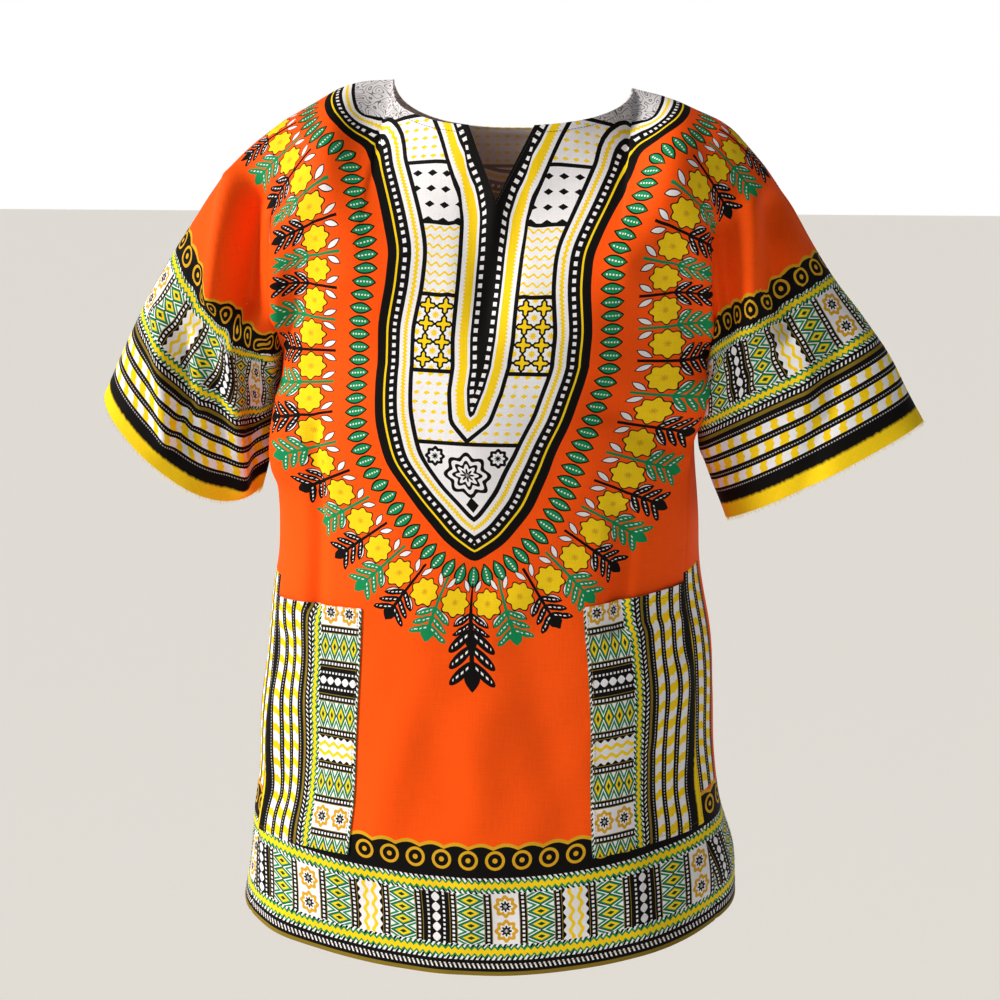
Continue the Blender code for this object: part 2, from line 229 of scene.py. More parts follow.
def sleeve_surface(panel, side, along, down):
    """A half sleeve, from the armhole (along 0) to the cuff (along 1) and from seam to seam."""
    along, down = np.broadcast_arrays(along, down)
    sleeve_rows = len(SHOULDER_TO_CUFF) - 1 - ARMHOLE_ROW
    top = seam_place(SHOULDER_SEAM, side, ARMHOLE_ROW + along * sleeve_rows)
    bottom = seam_place(SLEEVE_SEAM, side, along * (len(UNDERARM_TO_CUFF) - 1))
    depth = smooth(along, SLEEVE["along"], SLEEVE[panel])
    dip = smooth(along, SLEEVE["along"], SLEEVE[f"{side}_dip"])
    across = bottom - top
    hang = np.stack([across[..., 2], np.zeros(along.shape), -across[..., 0]], -1)
    hang = hang / np.linalg.norm(hang, axis=-1, keepdims=True) * (1 if side == "right" else -1)
    place = top + across * ((1 - np.cos(pi * down)) / 2)[..., None]
    place = place + hang * (dip * np.sin(pi * down**DIP_SKEW))[..., None]
    outward = -1 if panel == "front" else 1
    place[..., 1] += outward * depth * np.sin(pi * down)
    edge = np.full(along.shape, -1.0 if side == "right" else 1.0)
    at_armhole = upper_surface(panel, edge, down)
    return np.where((along == 0)[..., None], at_armhole, place)


def shares_across(panel):
    """The places of a panel's columns across its body, from seam to seam."""
    start = SLIT_SHARE if panel == "front" else 0.0
    slit = np.linspace(0, SLIT_SHARE, SLIT_STEPS + 1)[:-1] if panel == "front" else []
    neck = np.linspace(start, NECK_SHARE, NECK_STEPS[panel] + 1)[:-1]
    half = np.concatenate([slit, neck, np.linspace(NECK_SHARE, 1, SHOULDER_STEPS + 1)])
    return np.concatenate([-half[:0:-1], half])


def rows_down():
    """The body's rows by section, with one on each pocket's upper and lower edge."""
    stops = (0, POCKET_TOP_SECTION, POCKET_BOTTOM_SECTION, len(BODY_SECTIONS) - 1)
    spans = zip(stops, stops[1:], BODY_STEPS)
    return np.concatenate([np.linspace(low, high, steps + 1)[1:] for low, high, steps in spans])


def panel_grids(panel):
    """A panel's body and both half sleeves, each as rows of points in metres."""
    shares = shares_across(panel)[None, :]
    down = np.linspace(0, 1, UPPER_STEPS + 1)[:, None]
    upper = upper_surface(panel, shares, down)
    lower = body_surface(panel, *np.broadcast_arrays(shares, rows_down()[:, None]))
    along = np.linspace(0, 1, SLEEVE_STEPS + 1)[None, :]
    sleeves = {side: sleeve_surface(panel, side, along, down) * MM for side in ("right", "left")}
    return {"body": np.concatenate([upper, lower]) * MM, **sleeves}


PANELS = ("front", "back")
PARTS = ("body", "right", "left")
grids = {(panel, part): grid for panel in PANELS for part, grid in panel_grids(panel).items()}


def welded(grids):
    """A number for each point of each grid, the same where grids meet at a seam."""
    points = np.concatenate([grid.reshape(-1, 3) for grid in grids.values()])
    tree = KDTree(len(points))
    for number, point in enumerate(points):
        tree.insert(point, number)
    tree.balance()
    near = [tree.find_range(point, WELD_REACH * MM) for point in points]
    first = np.array([min(found[1] for found in group) for group in near])
    ends = np.cumsum([grid[..., 0].size for grid in grids.values()])[:-1]
    return {
        place: part.reshape(grids[place].shape[:2])
        for place, part in zip(grids, np.split(first, ends))
    }


numbers = welded(grids)


def faces_outward(place):
    """Whether a grid's rows and columns turn the way that points its faces outward."""
    panel, part = place
    return (panel == "front") != (part == "right")


def grid_quads(ids, outward):
    """The quads between a grid's points."""
    corners = np.stack([ids[:-1, :-1], ids[1:, :-1], ids[1:, 1:], ids[:-1, 1:]], -1).reshape(-1, 4)
    return corners if outward else corners[:, ::-1]


def outward_directions(grids):
    """The cloth's outward direction at each point, the same on both sides of a seam."""
    count = max(ids.max() for ids in numbers.values()) + 1
    points = np.zeros((count, 3))
    total = np.zeros((count, 3))
    for place, grid in grids.items():
        points[numbers[place]] = grid
    for place in grids:
        quads = grid_quads(numbers[place], faces_outward(place))
        a, b, c, d = points[quads].transpose(1, 0, 2)
        normal = np.cross(c - a, d - b)
        for corner in range(4):
            np.add.at(total, quads[:, corner], normal)
    total /= np.maximum(np.linalg.norm(total, axis=1, keepdims=True), 1e-12)
    return {place: total[numbers[place]] for place in grids}


# Folds as worn, in millimetres as seen from the front or from behind: soft ridges, and troughs
# where the height is below 0. The deepest hang between the shoulders and the underarms.
FOLD_COLUMNS = ("x0", "z0", "x1", "z1", "width", "height")
FOLDS = {
    "front": [
        (-262, -100, -280, -206, 14, 21),
        (-246, -112, -252, -214, 14, -21),
        (-222, -130, -221, -226, 11, 8),
        (229, -118, 235, -226, 12, 8),
        (253, -116, 264, -226, 11, -13),
        (208, -136, 213, -222, 11, -13),
        (-269, -262, -271, -402, 8, 15),
        (-250, -270, -252, -400, 11, -12),
        (-340, -228, -336, -350, 10, 8),
        (-317, -246, -320, -352, 9, -10),
        (-181, -330, -179, -500, 9, -8),
        (120, -400, 113, -512, 10, -8),
        (182, -290, 180, -350, 17, 16),
        (-214, -310, -222, -375, 17, 8),
        (170, -345, 110, -305, 18, -7),
        (-306, -190, -276, -345, 12, -5),
        (262, -150, 292, -300, 11, 4),
        (318, -240, 286, -400, 14, -5),
        (-150, -190, -196, -262, 14, 3),
        (120, -170, 172, -250, 14, 3),
        (-70, -560, -112, -720, 22, 3),
        (34, -520, 70, -740, 26, -3),
        (-10, -600, -26, -800, 24, 3),
        (-214, -540, -222, -700, 10, -3),
        (-236, -600, -246, -800, 9, 3),
        (176, -560, 184, -720, 10, 3),
        (150, -640, 158, -790, 12, -3),
    ],
    "back": [
        (-110, -120, -170, -260, 24, -8),
        (105, -130, 168, -260, 24, -8),
        (-90, -420, -110, -700, 26, 9),
        (20, -450, 30, -760, 24, -8),
        (120, -420, 130, -700, 26, 9),
        (-60, -60, -130, -190, 16, 3),
        (62, -60, 120, -180, 16, 3),
        (-40, -330, -66, -520, 18, -4),
        (64, -340, 84, -520, 18, -4),
        (-180, -360, -206, -560, 14, 4),
        (150, -330, 166, -560, 14, 4),
        (-160, -620, -176, -800, 15, -4),
        (74, -600, 84, -800, 16, 4),
        (-290, -120, -330, -240, 14, 5),
        (270, -120, 320, -260, 14, 5),
        (-262, -140, -290, -300, 12, -5),
        (236, -150, 268, -320, 12, -5),
    ],
}
FOLD_RISE = 0.2
SIDE_FADE_POWER = 12

# Between the folds the cloth wavers a little, as cotton does that has been folded and worn.
WAVER_COUNT = 26
WAVER_LENGTHS = (45, 170)
WAVER_HEIGHT = 0.55
WAVER_LEAN = (1.0, 1.0, 0.55)
WAVER_SEED = 7


def fold_heights(panel, grid):
    """How far the folds move each point of a grid outward, in metres."""
    heights = np.zeros(grid.shape[:-1])
    flat = grid[..., [0, 2]] / MM
    for row in FOLDS[panel]:
        fold = dict(zip(FOLD_COLUMNS, row))
        start = np.array([fold["x0"], fold["z0"]])
        run = np.array([fold["x1"], fold["z1"]]) - start
        share = np.clip((flat - start) @ run / (run @ run), 0, 1)
        away = np.linalg.norm(flat - start - share[..., None] * run, axis=-1)
        heights += fold["height"] * np.exp(-((away / fold["width"]) ** 2))
    return heights * MM


def fold_fade(place, shape):
    """1 where folds keep their height and 0 at the seams, which the two panels share."""
    panel, part = place
    down = np.arange(shape[0]) / UPPER_STEPS
    round_fade = np.sqrt(np.sin(pi * np.minimum(down, 1.0)).clip(0))
    if part != "body":
        return np.repeat(round_fade[:, None], shape[1], axis=1)
    edge = np.abs(shares_across(panel)) ** SIDE_FADE_POWER
    top = np.clip(down / FOLD_RISE, 0, 1)
    return top[:, None] * (1 - edge[None, :] * (1 - round_fade[:, None]))


def waver(points):
    """A low, uneven swell over the whole cloth, the same on both sides of a seam."""
    draw = np.random.default_rng(WAVER_SEED)
    heights = np.zeros(points.shape[:-1])
    for _ in range(WAVER_COUNT):
        direction = draw.normal(size=3) * WAVER_LEAN
        length = draw.uniform(*WAVER_LENGTHS) * MM
        wave = points @ (direction / np.linalg.norm(direction)) * 2 * pi / length
        heights += np.sin(wave + draw.uniform(0, 2 * pi)) * length / (WAVER_LENGTHS[1] * MM)
    return heights * WAVER_HEIGHT * MM


plain_outward = outward_directions(grids)
for place, grid in grids.items():
    heights = fold_heights(place[0], grid) * fold_fade(place, grid.shape[:2]) + waver(grid)
    grids[place] = grid + plain_outward[place] * heights[..., None]
outward = outward_directions(grids)


# The cut is worked out from the form: each panel is flattened with the least stretch, on every
# fourth column and eighth row of its grids. The rounds alternate between turning each triangle
# to fit its flat place and moving the places to fit the turned triangles.
COARSE_ROWS = 8
COARSE_COLUMNS = 4
FLATTEN_ROUNDS = 40
LEAST_WEIGHT = 0.05


def flattened(points, triangles, guess):
    """Flat places for a cloth's points, in the same unit, starting from a guess."""
    corners = points[triangles]
    along = corners[:, 1] - corners[:, 0]
    length = np.linalg.norm(along, axis=1)
    other = corners[:, 2] - corners[:, 0]
    foot = (other * along).sum(1) / length
    height = np.sqrt(np.maximum((other**2).sum(1) - foot**2, 0))
    local = np.zeros((len(length), 3, 2))
    local[:, 1, 0] = length
    local[:, 2] = np.stack([foot, height], -1)
    matrix = np.zeros((len(points), len(points)))
    pairs = []
    for a, b, c in ((0, 1, 2), (1, 2, 0), (2, 0, 1)):
        left, right = local[:, a] - local[:, c], local[:, b] - local[:, c]
        area = np.abs(left[:, 0] * right[:, 1] - left[:, 1] * right[:, 0])
        weight = np.maximum((left * right).sum(1) / np.maximum(area, 1e-12), LEAST_WEIGHT)
        i, j = triangles[:, a], triangles[:, b]
        for row, column, sign in ((i, i, 1), (j, j, 1), (i, j, -1), (j, i, -1)):
            np.add.at(matrix, (row, column), sign * weight)
        pairs.append((i, j, (local[:, a] - local[:, b]).T, weight))
    matrix[0, 0] += 1.0
    inverse = np.linalg.inv(matrix)
    places = guess.copy()
    for _ in range(FLATTEN_ROUNDS):
        same, across = 0, 0
        for i, j, (x, y), weight in pairs:
            run_x, run_y = (places[i] - places[j]).T
            same = same + weight * (run_x * x + run_y * y)
            across = across + weight * (run_y * x - run_x * y)
        size = np.maximum(np.hypot(same, across), 1e-12)
        c, s = same / size, across / size
        wanted = np.zeros(places.shape)
        for i, j, (x, y), weight in pairs:
            turned = np.stack([c * x - s * y, s * x + c * y], -1)
            np.add.at(wanted, i, weight[:, None] * turned)
            np.add.at(wanted, j, -weight[:, None] * turned)
        wanted[0] += places[0]
        places = inverse @ wanted
    return places


def walked_along(points, axis):
    """The length of cloth walked from the first row or column, in millimetres."""
    steps = np.linalg.norm(np.diff(points, axis=axis), axis=-1) / MM
    walked = np.cumsum(steps, axis=axis)
    return np.concatenate([np.zeros_like(walked.take([0], axis)), walked], axis)


def spread_to_fine(coarse, grid):
    """Values of a coarse grid at every point of the fine grid that it was taken from."""
    across = walked_along(grid, 1)[::COARSE_ROWS]
    down = walked_along(grid, 0).T
    by_row = np.stack([smooth(at, at[::COARSE_COLUMNS], row) for at, row in zip(across, coarse)])
    return np.stack([
        smooth(at, at[::COARSE_ROWS], column) for at, column in zip(down, by_row.T)
    ], -1)


def cloth_places(panel):
    """Each point's place on the flat cloth, in mm across from the centre and up from the hem."""
    taken = {part: numbers[panel, part][::COARSE_ROWS, ::COARSE_COLUMNS] for part in PARTS}
    used = np.unique(np.concatenate([ids.ravel() for ids in taken.values()]))
    local = {part: np.searchsorted(used, ids) for part, ids in taken.items()}
    points = np.zeros((len(used), 3))
    triangles = []
    for part in PARTS:
        points[local[part]] = grids[panel, part][::COARSE_ROWS, ::COARSE_COLUMNS] / MM
        quads = grid_quads(local[part], part != "right")
        triangles += [quads[:, [0, 1, 2]], quads[:, [0, 2, 3]]]
    places = flattened(points, np.concatenate(triangles), points[:, [0, 2]])
    centre = local["body"][:, local["body"].shape[1] // 2]
    line = places[centre]
    upward = line[0] - line[-1]
    upward = upward / np.linalg.norm(upward)
    sideways = np.array([upward[1], -upward[0]])
    places = (places - line[-1]) @ np.stack([sideways, upward], -1)
    line = places[centre][::-1]
    places[:, 0] -= np.interp(places[:, 1], line[:, 1], line[:, 0])
    return {
        (panel, part): np.stack([
            spread_to_fine(places[local[part]][..., axis], grids[panel, part])
            for axis in (0, 1)
        ], -1)
        for part in PARTS
    }


flat = {}
for panel in PANELS:
    flat.update(cloth_places(panel))


# The print's own lines on the flat cloth, in millimetres across from the centre and up from the
# hem. Each is drawn for one half and mirrored. The yoke's edge runs from its lower tip to the
# shoulder seam at the front, and round below the neck at the back.
YOKE_EDGE = {
    "front": [
        (0, 404), (28, 424), (54, 456), (76, 494), (92, 538), (101, 584), (103, 628), (98, 668),
        (98, 698), (106, 722), (115, 746), (124, 770), (131, 788), (138, 805), (157, 809),
        (171, 816), (183, 828), (192, 844), (199, 862), (206, 894), (214, 935),
    ],
    "back": [
        (0, 742), (42, 746), (84, 760), (122, 784), (152, 816), (176, 850), (198, 886), (226, 925),
    ],
}
# The placket print closes in a point below, and runs out beside the slit at the top.
PLACKET_EDGE = [
    (0, 546), (3, 549), (8, 572), (12, 620), (13, 700), (15, 735), (21, 760), (30, 782), (46, 820),
    (66, 862),
]
NO_PLACKET = 500
LEAF_ROW_OUT = 20
GARLAND_OUT = 60
YOKE_ROUNDING = 12
LEAF_ROUNDING = 32
GARLAND_ROUNDING = 72
GARLAND_SPREAD = [(0, 1.0), (140, 1.06), (230, 1.28), (330, 1.36), (410, 1.2), (520, 1.0)]
YOKE_SPREAD = [(0, 1.0), (412, 1.0), (442, 1.15), (492, 0.86), (700, 0.8)]
LINE_STEP = 4.0
FAR = 5000

# The border's depth is counted in from the cloth's selvage. The sleeves end in the selvage. The
# hem is cut through the border, whose bands are printed a little wider there. Each pair is a
# distance from the garment's own edge and the depth of the print that lies there.
BORDER_AT = {
    "sleeve": [(0, 0), (168, 168), (171, 176), (188, 193), (191, 198), (600, 607)],
    "hem": [
        (0, 83.3), (5, 85.6), (15, 92), (31, 105), (80, 155), (96, 168), (131, 203), (1200, 1272),
    ],
}

# Beyond the pocket the photo shows a strip of print on the back, so the back's side edges are
# drawn with stripes of the border, from the band of rings up to the pockets' height.
STRIP_WIDTH = 40
STRIP_DEPTH = 24
STRIP_RANGE = (203, 425)


def resampled(line, step):
    """Points at an even step along a line."""
    line = np.array(line, float)
    walked = np.concatenate([[0], np.cumsum(np.linalg.norm(np.diff(line, axis=0), axis=1))])
    at = np.arange(0, walked[-1], step)
    return np.stack([np.interp(at, walked, line[:, axis]) for axis in (0, 1)], -1)


def rounded_line(edge, out, reach):
    """A half line out from an edge, rounded by averaging over a reach, from the centre up."""
    half = resampled(edge, LINE_STEP)
    whole = np.concatenate([half[:0:-1] * (-1, 1), half])
    ahead = np.gradient(whole, axis=0)
    ahead /= np.linalg.norm(ahead, axis=1, keepdims=True)
    count = int(reach / LINE_STEP)
    weights = np.hanning(2 * count + 3)[1:-1]
    weights /= weights.sum()
    for _ in range(2):
        normal = np.stack([ahead[:, 1], -ahead[:, 0]], -1)
        padded = np.pad(normal, ((count, count), (0, 0)), mode="edge")
        normal = np.stack([np.convolve(padded[:, axis], weights, "valid") for axis in (0, 1)], -1)
        ahead = np.stack([-normal[:, 1], normal[:, 0]], -1)
    moved = whole + normal / np.linalg.norm(normal, axis=1, keepdims=True) * out
    padded = np.pad(moved, ((count, count), (0, 0)), mode="reflect", reflect_type="odd")
    moved = np.stack([np.convolve(padded[:, axis], weights, "valid") for axis in (0, 1)], -1)
    half = moved[len(moved) // 2:]
    half[0, 0] = 0
    return half


def beside_line(line, places):
    """How far along a line each place lies, and how far out from it."""
    line = np.array(line, float)
    starts, runs = line[:-1], np.diff(line, axis=0)
    lengths = np.linalg.norm(runs, axis=1)
    walked = np.concatenate([[0], np.cumsum(lengths)])[:-1]
    spot = np.stack([np.abs(places[..., 0]), places[..., 1]], -1).reshape(-1, 2)
    best = np.full(len(spot), np.inf)
    along = np.zeros(len(spot))
    out = np.zeros(len(spot))
    for start, run, length, before in zip(starts, runs, lengths, walked):
        first, last = before == 0, before == walked[-1]
        share = np.clip((spot - start) @ run / length**2, -FAR if first else 0, FAR if last else 1)
        away = spot - start - share[:, None] * run
        distance = np.hypot(away[:, 0], away[:, 1])
        side = np.where(run[1] * away[:, 0] - run[0] * away[:, 1] >= 0, 1, -1)
        nearer = distance < best
        best = np.where(nearer, distance, best)
        along = np.where(nearer, before + share * length, along)
        out = np.where(nearer, side * distance, out)
    return along.reshape(places.shape[:-1]), out.reshape(places.shape[:-1])


def border_places(place):
    """Each point's place along the printed edge, in from it, and in from the back's side seams."""
    fallen = walked_along(grids[place], 0)
    across = walked_along(grids[place], 1)
    if place[1] != "body":
        depth = np.interp(across[:, -1:] - across, *np.transpose(BORDER_AT["sleeve"]))
        return fallen, depth, np.full(depth.shape, FAR)
    depth = np.interp(fallen[-1] - fallen, *np.transpose(BORDER_AT["hem"]))
    from_seam = np.minimum(across, across[:, -1:] - across)
    if place[0] != "back":
        from_seam = from_seam + FAR
    centre = across.shape[1] // 2
    return across - across[:, centre:centre + 1], depth, from_seam


def print_places(place):
    """The named places of every point of a grid that the print is drawn by."""
    panel, part = place
    spots = flat[place]
    zero = np.zeros(spots.shape[:-1])
    lines = ((0, YOKE_ROUNDING), (LEAF_ROW_OUT, LEAF_ROUNDING), (GARLAND_OUT, GARLAND_ROUNDING))
    (yoke_along, yoke_out), leaves, (along, out) = (
        beside_line(rounded_line(YOKE_EDGE[panel], *line), spots) for line in lines
    )
    placket = (zero, zero + NO_PLACKET)
    if panel == "front":
        placket = beside_line(PLACKET_EDGE, spots)
        out = (out + GARLAND_OUT) / np.interp(along, *np.transpose(GARLAND_SPREAD)) - GARLAND_OUT
        yoke_out = yoke_out / np.interp(yoke_along, *np.transpose(YOKE_SPREAD))
    named = {
        "cloth": (spots[..., 0], spots[..., 1], zero),
        "yoke": (yoke_along, yoke_out, zero),
        "leaves": (*leaves, zero),
        "garland": (along, out, zero),
        "placket": (*placket, zero),
        "border": border_places(place),
    }
    return {name: np.stack(values, -1) for name, values in named.items()}


# The cloth is about 0.8 mm thick as drawn, and twice that where an edge is turned under and sewn.
CLOTH_WALL = 0.8
TURNED_WALL = 1.7
TURNED_DEPTH = {"hem": 96, "cuff": 12}
TURNED_NECK = 9
SEAM_DIP = 0.9
SHARP_ANGLE = 50


def wall_thickness(place, places):
    """How thick the cloth is at each point of a grid, in metres."""
    panel, part = place
    depth = places["border"][..., 1]
    turned = depth < TURNED_DEPTH["hem" if part == "body" else "cuff"]
    if part == "body":
        beside_neck = np.abs(shares_across(panel)) <= NECK_SHARE
        from_top = walked_along(grids[place], 0)
        turned |= beside_neck[None, :] & (from_top < TURNED_NECK)
    return np.where(turned, TURNED_WALL, CLOTH_WALL) * MM


def dipped_seams(place, grid):
    """The grid with its seam edges pressed in a little, as where a seam is pressed open."""
    panel, part = place
    dipped = grid.copy()
    inward = outward[place] * SEAM_DIP * MM
    if part == "body":
        shoulder = np.abs(shares_across(panel)) >= NECK_SHARE
        dipped[0, shoulder] -= inward[0, shoulder]
        dipped[UPPER_STEPS + 1:, [0, -1]] -= inward[UPPER_STEPS + 1:, [0, -1]]
    else:
        dipped[[0, -1]] -= inward[[0, -1]]
    return dipped


def cloth_shell(name, sheets, zones):
    """A closed shell of cloth from sheets that share a panel's numbers.

    Each sheet gives its numbers, outer points, outward directions, thickness, whether its faces
    point outward, and its named places. Zones picks the material of each quad from those places.
    """
    ids = np.unique(np.concatenate([sheet["numbers"].ravel() for sheet in sheets]))
    count = len(ids)
    outer, under = np.zeros((count, 3)), np.zeros((count, 3))
    named = {place: np.zeros((count, 3)) for place in sheets[0]["places"]}
    quads, kinds = [], []
    for sheet in sheets:
        index = np.searchsorted(ids, sheet["numbers"])
        outer[index] = sheet["points"]
        under[index] = sheet["points"] - sheet["outward"] * sheet["thickness"][..., None]
        for place, values in sheet["places"].items():
            named[place][index] = values
        quads.append(grid_quads(index, sheet["faces_outward"]))
        kinds.append(zones(sheet, quads[-1], index))
    quads, kinds = np.concatenate(quads), np.concatenate(kinds)
    edges = np.concatenate([quads[:, [i, (i + 1) % 4]] for i in range(4)])
    key, back_key = edges[:, 0] * count + edges[:, 1], edges[:, 1] * count + edges[:, 0]
    open_edges = ~np.isin(key, back_key)
    rim = edges[open_edges]
    rim_quads = np.stack([rim[:, 1], rim[:, 0], rim[:, 0] + count, rim[:, 1] + count], -1)
    rim_kinds = np.tile(kinds, 4)[open_edges]
    mesh = bpy.data.meshes.new(name)
    faces = np.concatenate([quads, quads[:, ::-1] + count, rim_quads])
    mesh.from_pydata(np.concatenate([outer, under]).tolist(), [], faces.tolist())
    kinds = np.concatenate([kinds, kinds, rim_kinds])
    mesh.polygons.foreach_set("material_index", kinds.astype(np.int32))
    for place, values in named.items():
        attribute = mesh.attributes.new(place, "FLOAT_VECTOR", "POINT")
        both = np.concatenate([values, values])
        if place == "cloth":
            both[count:, 2] = 1.0
        attribute.data.foreach_set("vector", both.astype(np.float32).ravel())
    mesh.shade_smooth()
    mesh.set_sharp_from_angle(angle=radians(SHARP_ANGLE))
    piece = bpy.data.objects.new(name, mesh)
    bpy.context.scene.collection.objects.link(piece)
    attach(piece, "root")
    return piece


ZONES = ("ground", "yoke", "border")
BORDER_REACH = 210
YOKE_REACH = 2


def panel_zones(sheet, quads, index):
    """Which part of the print a panel's quads lie in."""
    lookup = np.zeros((index.max() + 1, 3))
    lookup[index, 0] = sheet["places"]["border"][..., 1]
    lookup[index, 1] = sheet["places"]["yoke"][..., 1]
    lookup[index, 2] = sheet["places"]["border"][..., 2]
    depth, out, from_seam = lookup[quads].transpose(2, 0, 1)
    kind = np.where(out.min(1) < YOKE_REACH, ZONES.index("yoke"), ZONES.index("ground"))
    strip = (from_seam.min(1) < STRIP_WIDTH) & (depth.min(1) < STRIP_RANGE[1])
    return np.where(strip | (depth.max(1) < BORDER_REACH), ZONES.index("border"), kind)


sheets = {}
for place, grid in grids.items():
    places = print_places(place)
    sheets[place] = {
        "numbers": numbers[place],
        "points": dipped_seams(place, grid),
        "outward": outward[place],
        "thickness": wall_thickness(place, places),
        "faces_outward": faces_outward(place),
        "places": places,
    }
panels = {}
for panel in PANELS:
    sewn = [sheets[panel, part] for part in PARTS]
    panels[panel] = cloth_shell(f"{panel}_panel", sewn, panel_zones)


# Wax print on plain-woven cotton. Flat dye colours meet in crisp edges on a bright cloth. The
# cloth is matt with a faint waxy sheen, and its reverse shows the same print, paler.
INK = {
    "orange": "#FB5C08",
    "yellow": "#F7D31C",
    "green": "#14905A",
    "dark green": "#0A4A30",
    "black": "#0D0A09",
    "white": "#EDEBEE",
    "pale grey": "#D6D3D6",
    "grey": "#77737A",
    "thread grey": "#B9B4B6",
    "gold": "#D9A823",
    "olive": "#8A7526",
    "reverse": "#DDCBBC",
}
MATH, VECTOR, MIX = "ShaderNodeMath", "ShaderNodeVectorMath", "ShaderNodeMix"


def linear(colour):
    """A colour written as sRGB hex, in linear light."""
    parts = [int(colour[place:place + 2], 16) / 255 for place in (1, 3, 5)]
    return tuple(
        part / 12.92 if part <= 0.04045 else ((part + 0.055) / 1.055) ** 2.4 for part in parts
    )


def add(kind, *inputs, tree=None, **settings):
    """Adds a node with its settings, sets or links its inputs in order, and gives its output.

    It goes into the node tree of the outputs that it is linked to, unless another is given.
    """
    if tree is None:
        tree = next(value.id_data for value in inputs if isinstance(value, bpy.types.NodeSocket))
    node = tree.nodes.new(kind)
    for name, value in settings.items():
        setattr(node, name, value)
    sockets = [socket for socket in node.inputs if socket.enabled]
    for socket, value in zip(sockets, inputs):
        if isinstance(value, bpy.types.NodeSocket):
            tree.links.new(value, socket)
        else:
            socket.default_value = value
    return next(socket for socket in node.outputs if socket.enabled)


def ink(name):
    """One of the print's dyes."""
    return (*linear(INK[name]), 1)


def printed_places(tree, name):
    """The first two parts of one of the cloth's named places."""
    vector = add("ShaderNodeAttribute", tree=tree, attribute_name=name).node.outputs["Vector"]
    return add("ShaderNodeSeparateXYZ", vector).node.outputs[:2]


def within(place, low, high):
    """1 where a place lies between two."""
    return add(MATH, place, (low + high) / 2, (high - low) / 2, operation="COMPARE")


def repeated(place, pitch, centre=0.0):
    """The distance past the nearest of the centres of a repeat."""
    low, high = centre - pitch / 2, centre + pitch / 2
    turned = add(MATH, place, high, low, operation="WRAP")
    return add(MATH, turned, centre, operation="SUBTRACT") if centre else turned


def dashes(place, pitch, length):
    """1 on the dashes of a dashed line."""
    return within(repeated(place, pitch), -length / 2, length / 2)


def both(one, other):
    """1 where both masks are."""
    return add(MATH, one, other, operation="MULTIPLY")


def below(field, edge):
    """1 inside a shape's edge."""
    return add(MATH, field, edge, operation="LESS_THAN")


def over(under, mask, dye):
    """A dye or a drawing printed over another where the mask is 1."""
    dye = ink(dye) if isinstance(dye, str) else dye
    return add(MIX, mask, under, dye, data_type="RGBA")


def dyed(under, field, *layers):
    """Dyes printed one over another, each below an edge of a field or between two of them."""
    for *edges, dye in layers:
        mask = below(field, *edges) if len(edges) == 1 else within(field, *edges)
        under = over(under, mask, dye)
    return under


def dotted(under, across, edges, along, repeat, dye="white"):
    """A line of dots between two edges, at a pitch and length along it."""
    dots = both(within(across, *edges), dashes(along, *repeat))
    return over(under, dots, dye)


PETALS = 8
PETAL_DEPTH = 0.11


def motif(across, up, centre, size, turn=0.0, form="round"):
    """How far out each place is from a motif's centre, 1 on its edge."""
    place = add("ShaderNodeCombineXYZ", across, up)
    place = (place, (*centre, 0), (0, 0, turn), (*size, 1.0))
    local = add("ShaderNodeMapping", *place, vector_type="TEXTURE")
    if form == "round":
        return add(VECTOR, local, operation="LENGTH")
    folded = add(VECTOR, local, operation="ABSOLUTE")
    if form == "lozenge":
        return add(VECTOR, folded, (1, 1, 0), operation="DOT_PRODUCT")
    x, y = add("ShaderNodeSeparateXYZ", folded).node.outputs[:2]
    if form == "petals":
        turned = add(MATH, x, y, operation="ARCTAN2")
        lobes = add(MATH, turned, PETALS, operation="MULTIPLY")
        lobes = add(MATH, lobes, operation="COSINE")
        radius = add(VECTOR, local, operation="LENGTH")
        return add(MATH, lobes, -PETAL_DEPTH, radius, operation="MULTIPLY_ADD")
    return add(MATH, y, y, x, operation="MULTIPLY_ADD")


def wavy(place, along, length, height):
    """A place moved to and fro by a wave along the cloth."""
    turned = add(MATH, along, 2 * pi / length, operation="MULTIPLY")
    wave = add(MATH, turned, operation="SINE")
    return add(MATH, wave, height, place, operation="MULTIPLY_ADD")


def striped(place, bands, end):
    """Stripes from a table of each stripe's start and dye."""
    start = bands[0][0]
    length = end - start
    share = add(MATH, place, 1 / length, -start / length, operation="MULTIPLY_ADD")
    colour = add("ShaderNodeValToRGB", share)
    ramp = colour.node.color_ramp
    ramp.interpolation = "CONSTANT"
    for number, (low, dye) in enumerate(bands):
        at = (low - start) / length
        stop = ramp.elements[0] if number == 0 else ramp.elements.new(at)
        stop.position = at
        stop.color = ink(dye)
    ramp.elements.remove(ramp.elements[-1])
    return colour


LEAFLET_PITCH = 9.2
LEAFLET_LEAN = 0.9


def sprig(under, across, out, first, last, dye):
    """A stem with paired leaflets that lean outward, dashed in white along their veins."""
    side = add(MATH, across, operation="ABSOLUTE")
    stem = both(below(side, 1.3), within(out, first, last))
    leaning = add(MATH, side, -LEAFLET_LEAN, out, operation="MULTIPLY_ADD")
    beside = repeated(leaning, LEAFLET_PITCH, last - 4)
    leaflet = motif(beside, side, (0, 6.2), (3.9, 6.8))
    leafy = within(leaning, last - 27, last + 0.6)
    mask = both(below(leaflet, 1.0), leafy)
    colour = over(under, add(MATH, stem, mask, operation="MAXIMUM"), dye)
    end = motif(side, out, (0, last + 3), (4.6, 9), form="lens")
    colour = dyed(colour, end, (1.0, dye))
    vein = both(within(beside, -0.75, 0.75), dashes(side, 2.8, 1.5))
    vein = both(vein, both(leafy, below(leaflet, 0.72)))
    return over(colour, vein, "white")


LEAF_PITCH = 12.5
SPRIG_PITCH = 31
PENDANT_SIZE = 1.7


